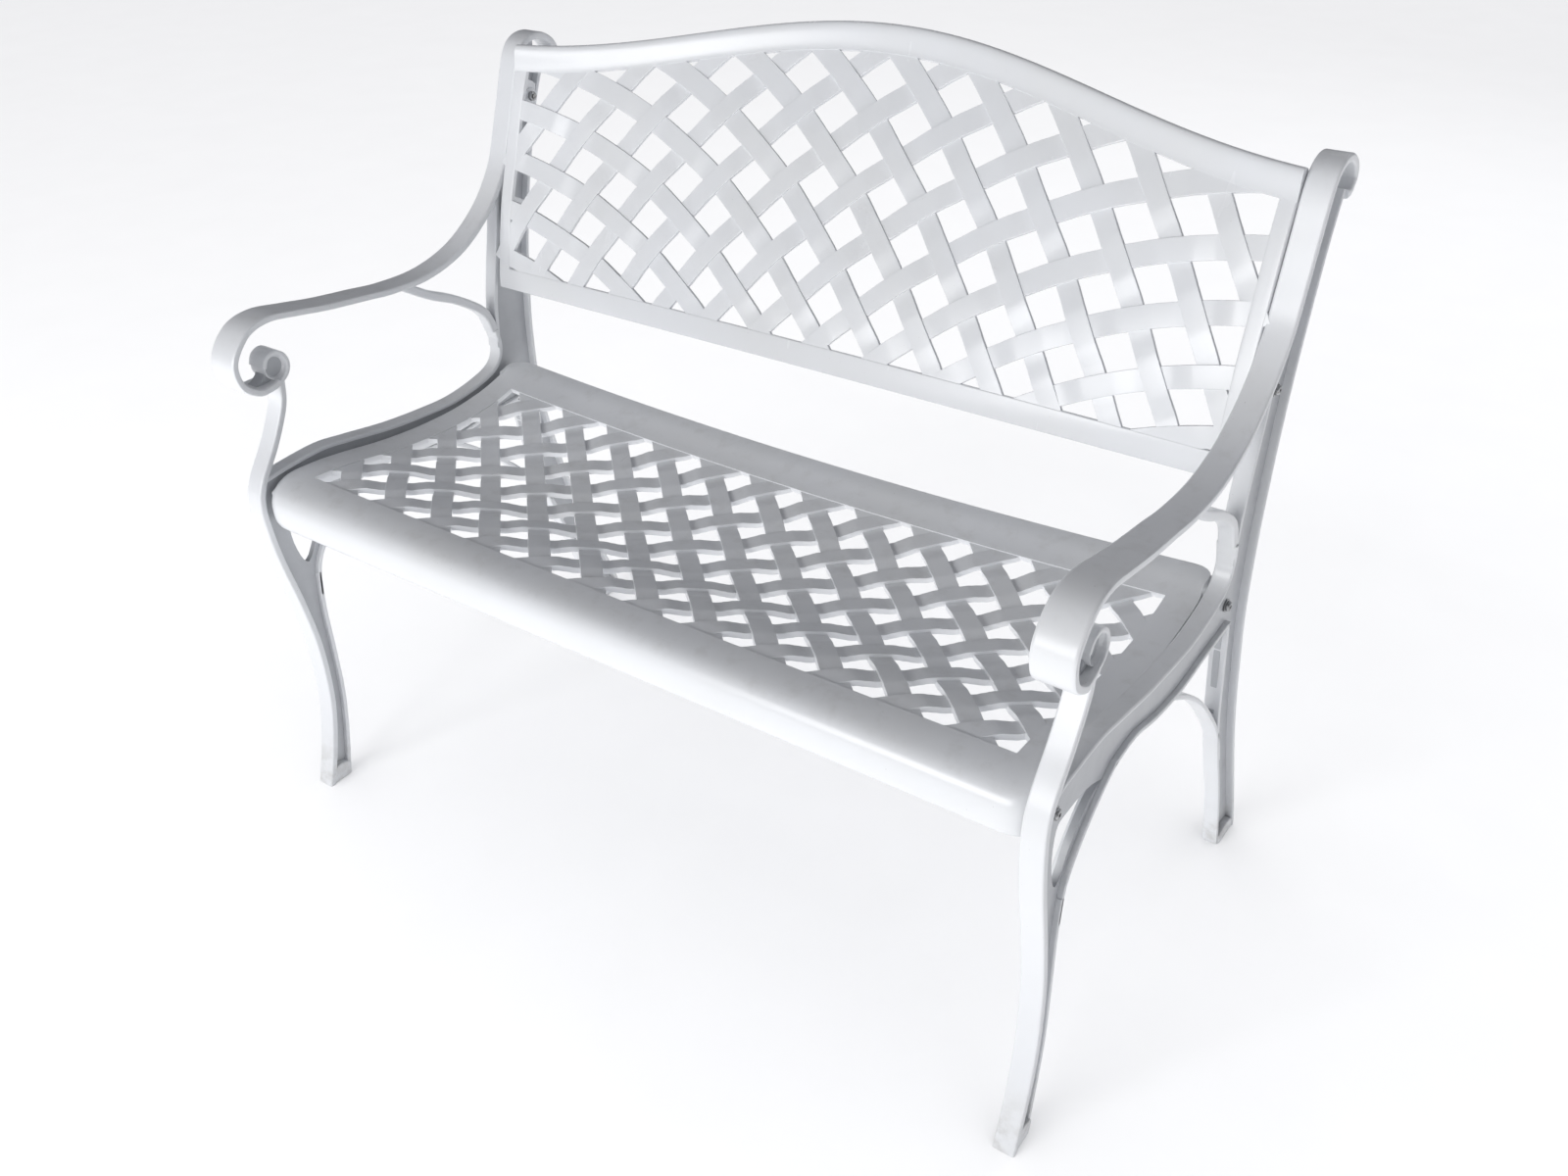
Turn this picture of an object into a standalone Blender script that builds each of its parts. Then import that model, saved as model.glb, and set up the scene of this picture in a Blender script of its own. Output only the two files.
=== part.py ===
"""Two-seat garden bench of cast aluminium: two side frames, a woven seat panel, a woven back panel and bolts.

+Z is up, the sitter faces -Y and the width runs along X. The side outlines below are in millimetres
as (depth, height), with depth counted backwards from the front feet.
"""

import math

import bmesh
import bpy
from mathutils import Vector

MM = 0.001
DEPTH_TO_CENTRE = 294.2   # depth that lies at y = 0
FIT_GAP = 0.3             # clearance between pieces that touch
NUDGE = 5.0               # run-over of a cutter past what it cuts

# Side frames
FRAME_X = 498.0           # middle plane of each side frame
WEB_THICK = 8.0
LEG_HALF_WIDTH = 12.0     # widest flanges of the legs
RIM_HALF_WIDTH = 9.0      # narrower flanges round the web
STRAP_THICK = 8.0
RIM_THICK = 6.0
BRACE_THICK = 11.0
SCROLL_RADIUS = 22.0
SCROLL_DEPTH, SCROLL_HEIGHT = 46.0, 579.0
SCROLL_HALF_WIDTH = 16.0

STRAP_FACE = [(539, 796), (551, 797), (562, 811), (555, 828), (533, 840), (508, 838), (490, 822), (473, 778),
              (456, 731), (440, 694), (407, 654), (357, 621), (300, 606), (242, 606), (195, 612), (143, 619),
              (100, 627), (60, 633), (27, 625), (3, 597), (6, 566), (27, 549), (48, 548), (65, 560)]
STRAP_TOP_HALF = 14.0
STRAP_HALF_WIDTHS = [(0.0, STRAP_TOP_HALF), (0.44, STRAP_TOP_HALF), (0.62, 17.0), (0.8, 20.0), (0.92, 20.0),
                     (1.0, 17.0)]
LEG_FACE = [(57, 564), (54, 526), (34, 485), (8, 447), (-1, 418), (1, 375), (7, 334), (19, 275), (28, 215),
            (30, 160), (27, 110), (16, 55), (-1, -6)]
LEG_BACK = [(58, 300), (54, 250), (54, 187), (53, 125), (46, 65), (34, -6)]
RAIL_TOP = [(13, 446), (39, 448), (98, 451), (142, 445), (210, 434), (283, 428), (318, 428), (354, 433),
            (385, 442), (399, 456), (402, 474), (398, 494)]
BRACE_TOP = [(398, 494), (384, 524), (343, 553), (300, 574), (262, 594)]
RAIL_LOW = [(146, 392), (190, 396), (240, 385), (300, 379), (360, 384), (424, 387)]
GUSSET = [(150, 394), (120, 376), (86, 346), (62, 312), (55, 270)]
ARCH = [(286, 379), (330, 352), (378, 313), (428, 259), (460, 215), (478, 172)]
POST_FRONT = [(434, 674), (430, 650), (423, 614), (411, 560), (404, 520), (400, 470)]
REAR_LEG_FRONT = [(421, 390), (436, 310), (449, 245), (474, 175), (505, 100), (540, -6)]
POST_BACK = [(538, 806), (522, 762), (503, 704), (486, 647), (473, 588), (464, 530), (459, 480), (459, 412),
             (464, 363), (476, 307), (490, 248), (512, 180), (541, 106), (571, 30), (588, -6)]
FRONT_WINDOW = [(128, 386), (98, 397), (58, 399), (38, 393), (36, 352), (50, 318), (76, 354), (104, 378)]
REAR_WINDOW = [(298, 370), (352, 373), (414, 377), (430, 318), (441, 259), (402, 296), (350, 338)]

# Where the web stops short of a flange's own ends, so that its outline never crosses itself
WEB_LEG_TOP = 440.0
WEB_POST_LOW, WEB_POST_HIGH = 500.0, 672.0
WEB_STRAP_LOW, WEB_STRAP_BACK = 692.0, 532.0
WEB_POST_TOP = 795.0
WEB_REAR_LEG_TOP = 168.0
WEB_RAIL_FRONT, WEB_RAIL_BACK = 156.0, 280.0
WEB_LEG_BACK_TOP = 262.0
FLOOR_REACH = 700.0       # depth of the block that trims the feet level
CURVE_STEPS = 2           # straight pieces between two outline points

# Seat panel
SEAT_HALF_WIDTH = FRAME_X - LEG_HALF_WIDTH - FIT_GAP
SEAT_THICK = 5.0
SEAT_SKIRT = 26.0         # depth of the side flanges that take the bolts
SEAT_SKIRT_THICK = 6.0
SHEET_INSET = 1.0         # how far the curved sheets stop inside their side flanges
SHEET_COLUMNS = 13
SKIRT_DROP = 0.8          # how far the side flanges start below the middle of the sheet
LUG_THICK = 7.5           # boss on each side flange that a nut pulls against
LUG_INSET = 0.5
LUG_RADIUS = 10.0
SEAT_SECTION = [(19, 392), (11, 396), (8, 408), (10, 424), (20, 435), (45, 441), (80, 440), (120, 435),
                (180, 425), (240, 419), (300, 418), (350, 423), (385, 431), (410, 439), (427, 442)]
SEAT_FIELD = (54.0, 376.0)        # depths where the woven field starts and ends
SEAT_FIELD_HALF = 452.0
SEAT_PITCH = 74.0                 # diagonal repeat of the weave
SEAT_ROW_DEPTH = 103.0            # depth of one row of crossings
SEAT_BAND = 22.0
SEAT_DISH = 16.0                  # how much lower the middle sits than the ends
SEAT_DISH_START = 20.0            # depth where the dish starts
SEAT_DISH_RUN = 150.0             # how far back from there the dish has its full drop
SEAT_CUT_LOW, SEAT_CUT_HIGH = 380.0, 480.0      # heights that the seat's openings are cut between
SKIRT_FRONT, SKIRT_BACK, SKIRT_LOWEST = 16.0, 426.0, 410.0
SMALLEST_HOLE = 150.0             # openings of less than this area, in square millimetres, stay filled

# Back panel
BACK_SIDE_SPACE = max(STRAP_TOP_HALF, LEG_HALF_WIDTH)
BACK_HALF_WIDTH = FRAME_X - BACK_SIDE_SPACE - FIT_GAP
BACK_THICK = 5.0
BACK_BOTTOM, BACK_END_TOP, BACK_CREST = 551.0, 832.0, 888.0
BACK_SECTION = [(413, 540), (413, 560), (418, 590), (431, 651), (452, 715), (471, 774), (493, 828), (519, 900)]
BACK_BOW = 70.0                   # how far the crest curves behind the ends
BACK_RAIL = 26.0
BACK_BORDER = 22.0
BACK_SIDE_FLANGE = 34.0
BACK_ARC_X, BACK_ARC_Z = -592.0, -4.0
BACK_ARC_START, BACK_ARC_STEP = 48.0, 56.0
BACK_BAND = 22.0
BACK_ARCS = range(4, 28)          # arcs of each fan that can reach the back
BACK_ARC_LOWEST = 400.0           # crossings below this height belong to nothing
BACK_CUT_FRONT, BACK_CUT_BACK = 360.0, 700.0    # depths that the back's openings are cut between
BACK_EDGE_STEPS = 8
BACK_ROWS = 4
BACK_TUBE = 11.0                  # radius of the rounded top rail
TUBE_SIDES = 10
TUBE_STEPS = 12                   # rings on each half of the top rail

# Fasteners: (name, depth, height)
BOLTS = [("seat_front", 28.0, 420.0), ("seat_rear", 414.0, 414.0), ("back_lower", 450.0, 638.0),
         ("back_upper", 496.0, 772.0)]
BOLT_RADIUS = 3.0
BOLT_CLEARANCE = 0.4
HEAD_RADIUS, HEAD_HEIGHT = 5.5, 3.4
WASHER_RADIUS, WASHER_THICK = 7.0, 1.2
NUT_RADIUS, NUT_HEIGHT = 5.8, 5.0
SOCKET_RADIUS, SOCKET_DEPTH = 2.3, 2.0
BOSS_RADIUS = 8.5
SIDES = 12                        # flats round each fastener
HEX = 6
SHANK_OUT = 1.5                   # how far the shank shows past its nut


def material(name, colour, metallic, roughness):
    """A named Principled material."""
    made = bpy.data.materials.new(name)
    made.use_nodes = True
    shader = made.node_tree.nodes["Principled BSDF"]
    shader.inputs["Base Color"].default_value = (*colour, 1.0)
    shader.inputs["Metallic"].default_value = metallic
    shader.inputs["Roughness"].default_value = roughness
    return made


def place(x, depth, height):
    """World position in metres of a point given in millimetres."""
    return Vector((x, depth - DEPTH_TO_CENTRE, height)) * MM


def smooth(points, per_span):
    """Points on a Catmull-Rom curve through the given ones."""
    ends = [points[0], *points, points[-1]]
    found = []
    for a, b, c, d in zip(ends, ends[1:], ends[2:], ends[3:]):
        for step in range(per_span):
            t = step / per_span
            found.append(tuple(0.5 * (2 * q + (r - p) * t + (2 * p - 5 * q + 4 * r - s) * t * t
                                      + (3 * q - p - 3 * r + s) * t ** 3) for p, q, r, s in zip(a, b, c, d)))
    return [*found, tuple(map(float, points[-1]))]


def lookup(table, at):
    """Straight-line value of a table of pairs."""
    for (a, first), (b, second) in zip(table, table[1:]):
        if at <= b:
            return first + (second - first) * max(0.0, (at - a) / (b - a))
    return table[-1][1]


def shifted(path, offset):
    """The path moved sideways, to the left of its direction of travel for a positive offset."""
    found = []
    for i, (y, z) in enumerate(path):
        before, after = path[max(i - 1, 0)], path[min(i + 1, len(path) - 1)]
        dy, dz = after[0] - before[0], after[1] - before[1]
        length = math.hypot(dy, dz)
        found.append((y - dz / length * offset, z + dy / length * offset))
    return found


def new_object(name, mesh_builder):
    """An object whose mesh the builder fills through a bmesh."""
    work = bmesh.new()
    mesh_builder(work)
    bmesh.ops.recalc_face_normals(work, faces=work.faces)
    mesh = bpy.data.meshes.new(name)
    work.to_mesh(mesh)
    work.free()
    made = bpy.data.objects.new(name, mesh)
    bpy.context.scene.collection.objects.link(made)
    return made


def ribbon(name, path, x, thickness, half_widths):
    """A strip of given thickness along a side-view path, as wide across X as the table says."""
    def build(work):
        rings = []
        outer, inner = shifted(path, thickness / 2), shifted(path, -thickness / 2)
        for i, (a, b) in enumerate(zip(outer, inner)):
            half = lookup(half_widths, i / (len(path) - 1))
            corners = [(x - half, a), (x + half, a), (x + half, b), (x - half, b)]
            rings.append([work.verts.new(place(across, *point)) for across, point in corners])
        for near, far in zip(rings, rings[1:]):
            for k in range(4):
                work.faces.new([near[k], near[(k + 1) % 4], far[(k + 1) % 4], far[k]])
        work.faces.new(rings[0])
        work.faces.new(rings[-1][::-1])
    return new_object(name, build)


def plate(name, outline, x_low, x_high):
    """A flat plate with a side-view outline."""
    def build(work):
        low = [work.verts.new(place(x_low, *point)) for point in outline]
        high = [work.verts.new(place(x_high, *point)) for point in outline]
        work.faces.new(low)
        work.faces.new(high[::-1])
        for i in range(len(outline)):
            j = (i + 1) % len(outline)
            work.faces.new([low[i], low[j], high[j], high[i]])
    return new_object(name, build)


def cylinder(name, x_low, x_high, depth, height, radius, sides=SIDES):
    """A cylinder along X."""
    turns = [2 * math.pi * k / sides for k in range(sides)]
    outline = [(depth + radius * math.cos(turn), height + radius * math.sin(turn)) for turn in turns]
    return plate(name, outline, x_low, x_high)


def combine(base, other, operation):
    """Joins or cuts with an exact Boolean, then drops the helper."""
    other.hide_render = True
    other.display_type = "WIRE"
    change = base.modifiers.new(operation, "BOOLEAN")
    change.operation = operation
    change.solver = "EXACT"
    change.object = other
    bpy.context.view_layer.objects.active = base
    bpy.ops.object.modifier_apply(modifier=change.name)
    bpy.data.objects.remove(other, do_unlink=True)


def finish(made, surface, smooth_angle=35.0):
    """Gives the material and shades round stretches smooth."""
    made.data.materials.clear()
    made.data.materials.append(surface)
    bpy.ops.object.select_all(action="DESELECT")
    made.select_set(True)
    bpy.context.view_layer.objects.active = made
    bpy.ops.object.shade_smooth_by_angle(angle=math.radians(smooth_angle))


def web_outline():
    """The thin wall that fills each frame, running along the middle of its flanges."""
    leg = shifted(smooth(LEG_FACE, CURVE_STEPS), STRAP_THICK / 2)
    strap = shifted(smooth(STRAP_FACE, CURVE_STEPS), STRAP_THICK / 2)
    leg_part = [p for p in leg if p[1] < WEB_LEG_TOP][::-1]
    rail = smooth(RAIL_TOP, CURVE_STEPS)
    post_up = [p for p in smooth(POST_FRONT, CURVE_STEPS) if WEB_POST_LOW < p[1] < WEB_POST_HIGH][::-1]
    strap_up = [p for p in strap if p[1] > WEB_STRAP_LOW and p[0] < WEB_STRAP_BACK][::-1]
    post_down = [p for p in smooth(POST_BACK, CURVE_STEPS) if p[1] < WEB_POST_TOP]
    leg_up = [p for p in smooth(REAR_LEG_FRONT, CURVE_STEPS) if p[1] < WEB_REAR_LEG_TOP][::-1]
    arch = smooth(ARCH, CURVE_STEPS)[:-1][::-1]
    low = [p for p in smooth(RAIL_LOW, CURVE_STEPS) if WEB_RAIL_FRONT < p[0] < WEB_RAIL_BACK][::-1]
    gusset = smooth(GUSSET, CURVE_STEPS)
    leg_down = [p for p in smooth(LEG_BACK, CURVE_STEPS) if p[1] < WEB_LEG_BACK_TOP]
    return [*leg_part, *rail, *post_up, *strap_up, *post_down, *leg_up, *arch, *low, *gusset, *leg_down]


def side_frame(name, side, surface):
    """One side casting: web, flanges, arm strap, scroll and bosses, with its bolt holes."""
    x = side * FRAME_X
    frame = plate(name, web_outline(), x - WEB_THICK / 2, x + WEB_THICK / 2)
    for window in (FRONT_WINDOW, REAR_WINDOW):
        combine(frame, plate("window", window, x - WEB_THICK, x + WEB_THICK), "DIFFERENCE")
    wide = [(0.0, LEG_HALF_WIDTH), (1.0, LEG_HALF_WIDTH)]
    narrow = [(0.0, RIM_HALF_WIDTH), (1.0, RIM_HALF_WIDTH)]
    strips = [
        (LEG_FACE, STRAP_THICK / 2, STRAP_THICK, wide),
        (LEG_BACK, 0.0, RIM_THICK, narrow),
        (RAIL_TOP, 0.0, RIM_THICK, wide),
        (BRACE_TOP, 0.0, BRACE_THICK, narrow),
        (RAIL_LOW, 0.0, RIM_THICK, narrow),
        (GUSSET, 0.0, RIM_THICK, narrow),
        (ARCH, 0.0, RIM_THICK, narrow),
        (POST_FRONT, 0.0, RIM_THICK, narrow),
        (REAR_LEG_FRONT, 0.0, RIM_THICK, narrow),
        (POST_BACK, 0.0, RIM_THICK, wide),
        (STRAP_FACE, STRAP_THICK / 2, STRAP_THICK, STRAP_HALF_WIDTHS),
    ]
    for outline, inward, thickness, widths in strips:
        path = shifted(smooth(outline, CURVE_STEPS), inward)
        combine(frame, ribbon("strip", path, x, thickness, widths), "UNION")
    disc = cylinder("disc", x - SCROLL_HALF_WIDTH, x + SCROLL_HALF_WIDTH, SCROLL_DEPTH, SCROLL_HEIGHT,
                    SCROLL_RADIUS)
    combine(frame, disc, "UNION")
    for bolt, depth, height in BOLTS:
        reach = LEG_HALF_WIDTH if bolt.startswith("seat") else BACK_SIDE_SPACE
        boss = cylinder("boss", *sorted((side * (FRAME_X - reach), x)), depth, height, BOSS_RADIUS)
        combine(frame, boss, "UNION")
        hole = cylinder("hole", x - 2 * LEG_HALF_WIDTH, x + 2 * LEG_HALF_WIDTH, depth, height,
                        BOLT_RADIUS + BOLT_CLEARANCE)
        combine(frame, hole, "DIFFERENCE")
    low, wide_enough = -NUDGE * 4, NUDGE * 10
    below = [(low, low), (FLOOR_REACH, low), (FLOOR_REACH, 0.0), (low, 0.0)]
    combine(frame, plate("floor", below, x - wide_enough, x + wide_enough), "DIFFERENCE")
    finish(frame, surface)
    return frame


def seat_drop(x, depth):
    """How far the dished seat sits below its section at the ends."""
    across = 1.0 - (x / SEAT_HALF_WIDTH) ** 2
    along = min(max((depth - SEAT_DISH_START) / SEAT_DISH_RUN, 0.0), 1.0)
    return SEAT_DISH * across * along


def clipped(polygon, outline):
    """The part of a convex polygon inside a convex outline that runs anticlockwise."""
    for (ax, az), (bx, bz) in zip(outline, [*outline[1:], outline[0]]):
        kept = []
        for (px, pz), (qx, qz) in zip(polygon, [*polygon[1:], polygon[0]]):
            p_side = (bx - ax) * (pz - az) - (bz - az) * (px - ax)
            q_side = (bx - ax) * (qz - az) - (bz - az) * (qx - ax)
            if p_side >= 0:
                kept.append((px, pz))
            if p_side * q_side < 0:
                t = p_side / (p_side - q_side)
                kept.append((px + (qx - px) * t, pz + (qz - pz) * t))
        polygon = kept
        if len(polygon) < 3:
            return []
    return polygon


def area(polygon):
    """Area of a polygon."""
    following = [*polygon[1:], polygon[0]]
    return abs(sum(a[0] * b[1] - b[0] * a[1] for a, b in zip(polygon, following))) / 2


def prisms(name, polygons, low, high, point):
    """One mesh of upright prisms, with `point` giving the place of (across, along, through)."""
    def build(work):
        for polygon in polygons:
            first = [work.verts.new(point(u, v, low)) for u, v in polygon]
            second = [work.verts.new(point(u, v, high)) for u, v in polygon]
            work.faces.new(first)
            work.faces.new(second[::-1])
            for i in range(len(polygon)):
                j = (i + 1) % len(polygon)
                work.faces.new([first[i], first[j], second[j], second[i]])
    return new_object(name, build)


def across_columns(half_width):
    """Where the columns of a curved sheet lie across the bench."""
    half = half_width - SHEET_INSET
    return [half * (2 * k / SHEET_COLUMNS - 1) for k in range(SHEET_COLUMNS + 1)]


def sheet(name, columns, rows, point, thickness):
    """A curved sheet on a grid, thickened behind its face."""
    def build(work):
        grid = [[work.verts.new(point(u, v)) for v in rows] for u in columns]
        for near, far in zip(grid, grid[1:]):
            for j in range(len(rows) - 1):
                work.faces.new([near[j], far[j], far[j + 1], near[j + 1]])
    made = new_object(name, build)
    thicken = made.modifiers.new("thickness", "SOLIDIFY")
    thicken.thickness = thickness * MM
    thicken.offset = 0.0
    thicken.use_even_offset = True
    bpy.context.view_layer.objects.active = made
    bpy.ops.object.modifier_apply(modifier=thicken.name)
    return made


def add_lug(panel, side, panel_half, depth, height):
    """A drilled boss on a panel's side flange."""
    ends = sorted((side * (panel_half - LUG_INSET), side * (panel_half - LUG_THICK)))
    combine(panel, cylinder("lug", *ends, depth, height, LUG_RADIUS), "UNION")
    hole = cylinder("hole", ends[0] - NUDGE, ends[1] + NUDGE, depth, height, BOLT_RADIUS + BOLT_CLEARANCE)
    combine(panel, hole, "DIFFERENCE")


def seat_holes():
    """Plan outlines of the openings between the diagonal bands of the seat."""
    half, gap = SEAT_PITCH / 2, (SEAT_PITCH / math.sqrt(2) - SEAT_BAND) / math.sqrt(2)
    field = [(-SEAT_FIELD_HALF, SEAT_FIELD[0]), (SEAT_FIELD_HALF, SEAT_FIELD[0]),
             (SEAT_FIELD_HALF, SEAT_FIELD[1]), (-SEAT_FIELD_HALF, SEAT_FIELD[1])]
    found = []
    across, along = int(SEAT_HALF_WIDTH / half) + 2, int(SEAT_FIELD[1] / half) + 2
    for i in range(-across, across + 1):
        for j in range(-along, along + 1):
            if (i + j) % 2 == 0:
                continue
            x, y = i * half, SEAT_ROW_DEPTH + j * half
            hole = clipped([(x + gap, y), (x, y + gap), (x - gap, y), (x, y - gap)], field)
            if hole and area(hole) > SMALLEST_HOLE:
                found.append(hole)
    return found


def seat_panel(surface):
    """The dished seat casting with its rolled front lip, woven field and side flanges."""
    def at(x, point):
        depth, height = point
        return place(x, depth, height - seat_drop(x, depth))
    seat = sheet("seat_panel", across_columns(SEAT_HALF_WIDTH), SEAT_SECTION, at, SEAT_THICK)
    holes = prisms("holes", seat_holes(), SEAT_CUT_LOW, SEAT_CUT_HIGH, place)
    combine(seat, holes, "DIFFERENCE")
    top = [(y, z - SKIRT_DROP) for y, z in SEAT_SECTION if SKIRT_FRONT < y < SKIRT_BACK and z > SKIRT_LOWEST]
    skirt = [*top, *[(y, z - SEAT_SKIRT) for y, z in reversed(top)]]
    for side in (-1, 1):
        ends = sorted((side * SEAT_HALF_WIDTH, side * (SEAT_HALF_WIDTH - SEAT_SKIRT_THICK)))
        flange = plate("flange", skirt, *ends)
        for _, depth, height in BOLTS[:2]:
            add_lug(flange, side, SEAT_HALF_WIDTH, depth, height)
        combine(seat, flange, "UNION")
    finish(seat, surface)
    return seat


def back_top(x):
    """Height of the camel-back crest line."""
    return BACK_END_TOP + (BACK_CREST - BACK_END_TOP) * (0.5 + 0.5 * math.cos(math.pi * x / BACK_HALF_WIDTH))


def back_depth(x, height):
    """Depth of the middle of the back casting, which bows backwards toward its crest."""
    table = [(z, y) for y, z in BACK_SECTION]
    rise = max(0.0, (height - BACK_BOTTOM) / (BACK_CREST - BACK_BOTTOM))
    return lookup(table, height) + BACK_BOW * rise * (1.0 - (x / BACK_HALF_WIDTH) ** 2)


def arc_crossing(left, right):
    """Crossing of an arc round the left centre with one round the right centre."""
    span = -2 * BACK_ARC_X
    along = (left ** 2 - right ** 2 + span ** 2) / (2 * span)
    rise = left ** 2 - along ** 2
    return (BACK_ARC_X + along, BACK_ARC_Z + math.sqrt(rise)) if rise > 0 else None


def back_holes():
    """Front-view outlines of the openings between the two fans of arcs."""
    half = BACK_HALF_WIDTH - BACK_BORDER
    stations = [half - half * k / BACK_EDGE_STEPS for k in range(2 * BACK_EDGE_STEPS + 1)]
    crest = [(x, back_top(x) - BACK_RAIL) for x in stations]
    bottom = BACK_BOTTOM + BACK_RAIL
    opening = BACK_ARC_STEP - BACK_BAND
    found = []
    for i in BACK_ARCS:
        for j in BACK_ARCS:
            inner_i = BACK_ARC_START + i * BACK_ARC_STEP + BACK_BAND / 2
            inner_j = BACK_ARC_START + j * BACK_ARC_STEP + BACK_BAND / 2
            outer_i, outer_j = inner_i + opening, inner_j + opening
            pairs = [(inner_i, inner_j), (outer_i, inner_j), (outer_i, outer_j), (inner_i, outer_j)]
            corners = [arc_crossing(left, right) for left, right in pairs]
            if None in corners or min(c[1] for c in corners) < BACK_ARC_LOWEST:
                continue
            hole = clipped(corners, [(-half, bottom), (half, bottom), *crest])
            if hole and area(hole) > SMALLEST_HOLE:
                found.append(hole)
    return found


def back_panel(surface):
    """The bowed back casting with its rounded top rail, woven field and side flanges."""
    rows = [k / BACK_ROWS for k in range(BACK_ROWS + 1)]

    def at(x, share):
        height = BACK_BOTTOM + share * (back_top(x) - BACK_TUBE - BACK_BOTTOM)
        return place(x, back_depth(x, height), height)
    back = sheet("back_panel", across_columns(BACK_HALF_WIDTH), rows, at, BACK_THICK)
    holes = prisms("holes", back_holes(), BACK_CUT_FRONT, BACK_CUT_BACK,
                   lambda across, height, depth: place(across, depth, height))
    combine(back, holes, "DIFFERENCE")

    def rail(work):
        rings = []
        turns = [2 * math.pi * k / TUBE_SIDES for k in range(TUBE_SIDES)]
        round_it = [(BACK_TUBE * math.cos(turn), BACK_TUBE * math.sin(turn)) for turn in turns]
        for step in range(-TUBE_STEPS, TUBE_STEPS + 1):
            x = (BACK_HALF_WIDTH - LUG_INSET) * step / TUBE_STEPS
            height = back_top(x) - BACK_TUBE
            depth = back_depth(x, height)
            rings.append([work.verts.new(place(x, depth + back, height + up)) for back, up in round_it])
        for near, far in zip(rings, rings[1:]):
            for k in range(TUBE_SIDES):
                after = (k + 1) % TUBE_SIDES
                work.faces.new([near[k], near[after], far[after], far[k]])
        work.faces.new(rings[0])
        work.faces.new(rings[-1][::-1])
    combine(back, new_object("rail", rail), "UNION")
    rise = BACK_END_TOP - BACK_TUBE - BACK_BOTTOM
    heights = [BACK_BOTTOM + rise * k / BACK_EDGE_STEPS for k in range(BACK_EDGE_STEPS + 1)]
    face = [(back_depth(BACK_HALF_WIDTH, z), z) for z in heights]
    flange = [*face, *[(y + BACK_SIDE_FLANGE, z) for y, z in reversed(face)]]
    for side in (-1, 1):
        ends = sorted((side * BACK_HALF_WIDTH, side * (BACK_HALF_WIDTH - SEAT_SKIRT_THICK)))
        combine(back, plate("flange", flange, *ends), "UNION")
        for _, depth, height in BOLTS[2:]:
            add_lug(back, side, BACK_HALF_WIDTH, depth, height)
    finish(back, surface)
    return back


def fastener_set(place_name, side, depth, height, panel_half, surface):
    """A button-head bolt, its washer and its nut, all along X."""
    start = f"{'left' if side < 0 else 'right'}_{place_name}"

    def round_bar(name, inner, outer, radius, sides=SIDES):
        return cylinder(name, *sorted((side * inner, side * outer)), depth, height, radius, sides)

    def drill(piece, inner, outer):
        hole = round_bar("hole", inner - NUDGE, outer + NUDGE, BOLT_RADIUS + BOLT_CLEARANCE)
        combine(piece, hole, "DIFFERENCE")
    washer_inner = FRAME_X + WEB_THICK / 2 + FIT_GAP
    washer_outer = washer_inner + WASHER_THICK
    washer = round_bar(f"{start}_washer", washer_inner, washer_outer, WASHER_RADIUS)
    drill(washer, washer_inner, washer_outer)
    head_inner = washer_outer + FIT_GAP
    head_outer = head_inner + HEAD_HEIGHT
    nut_outer = panel_half - LUG_THICK - FIT_GAP
    nut_inner = nut_outer - NUT_HEIGHT
    bolt = round_bar(f"{start}_bolt", head_inner, head_outer, HEAD_RADIUS)
    shank = round_bar("shank", nut_inner - SHANK_OUT, head_inner + HEAD_HEIGHT / 2, BOLT_RADIUS)
    combine(bolt, shank, "UNION")
    socket = round_bar("socket", head_outer - SOCKET_DEPTH, head_outer + NUDGE, SOCKET_RADIUS, HEX)
    combine(bolt, socket, "DIFFERENCE")
    nut = round_bar(f"{start}_nut", nut_inner, nut_outer, NUT_RADIUS, HEX)
    drill(nut, nut_inner, nut_outer)
    for made in (washer, bolt, nut):
        finish(made, surface)


def build():
    """Clears the scene and builds every piece."""
    for old in list(bpy.data.objects):
        bpy.data.objects.remove(old, do_unlink=True)
    frame_paint = material("frame_paint", (0.86, 0.87, 0.88), 0.0, 0.35)
    seat_paint = material("seat_paint", (0.85, 0.86, 0.87), 0.0, 0.38)
    back_paint = material("back_paint", (0.87, 0.88, 0.89), 0.0, 0.36)
    steel = material("bolt_steel", (0.45, 0.46, 0.47), 1.0, 0.4)
    side_frame("left_side_frame", -1, frame_paint)
    side_frame("right_side_frame", 1, frame_paint)
    seat_panel(seat_paint)
    back_panel(back_paint)
    for name, depth, height in BOLTS:
        panel_half = SEAT_HALF_WIDTH if name.startswith("seat") else BACK_HALF_WIDTH
        for side in (-1, 1):
            fastener_set(name, side, depth, height, panel_half, steel)


build()
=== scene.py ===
"""Looks of the cast two-seat garden bench: side castings, woven seat, woven back and their fasteners."""

import logging
import math
from collections.abc import Callable, Iterable
from dataclasses import dataclass, field
from enum import Enum

import bpy
from mathutils import Matrix, Vector


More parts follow.
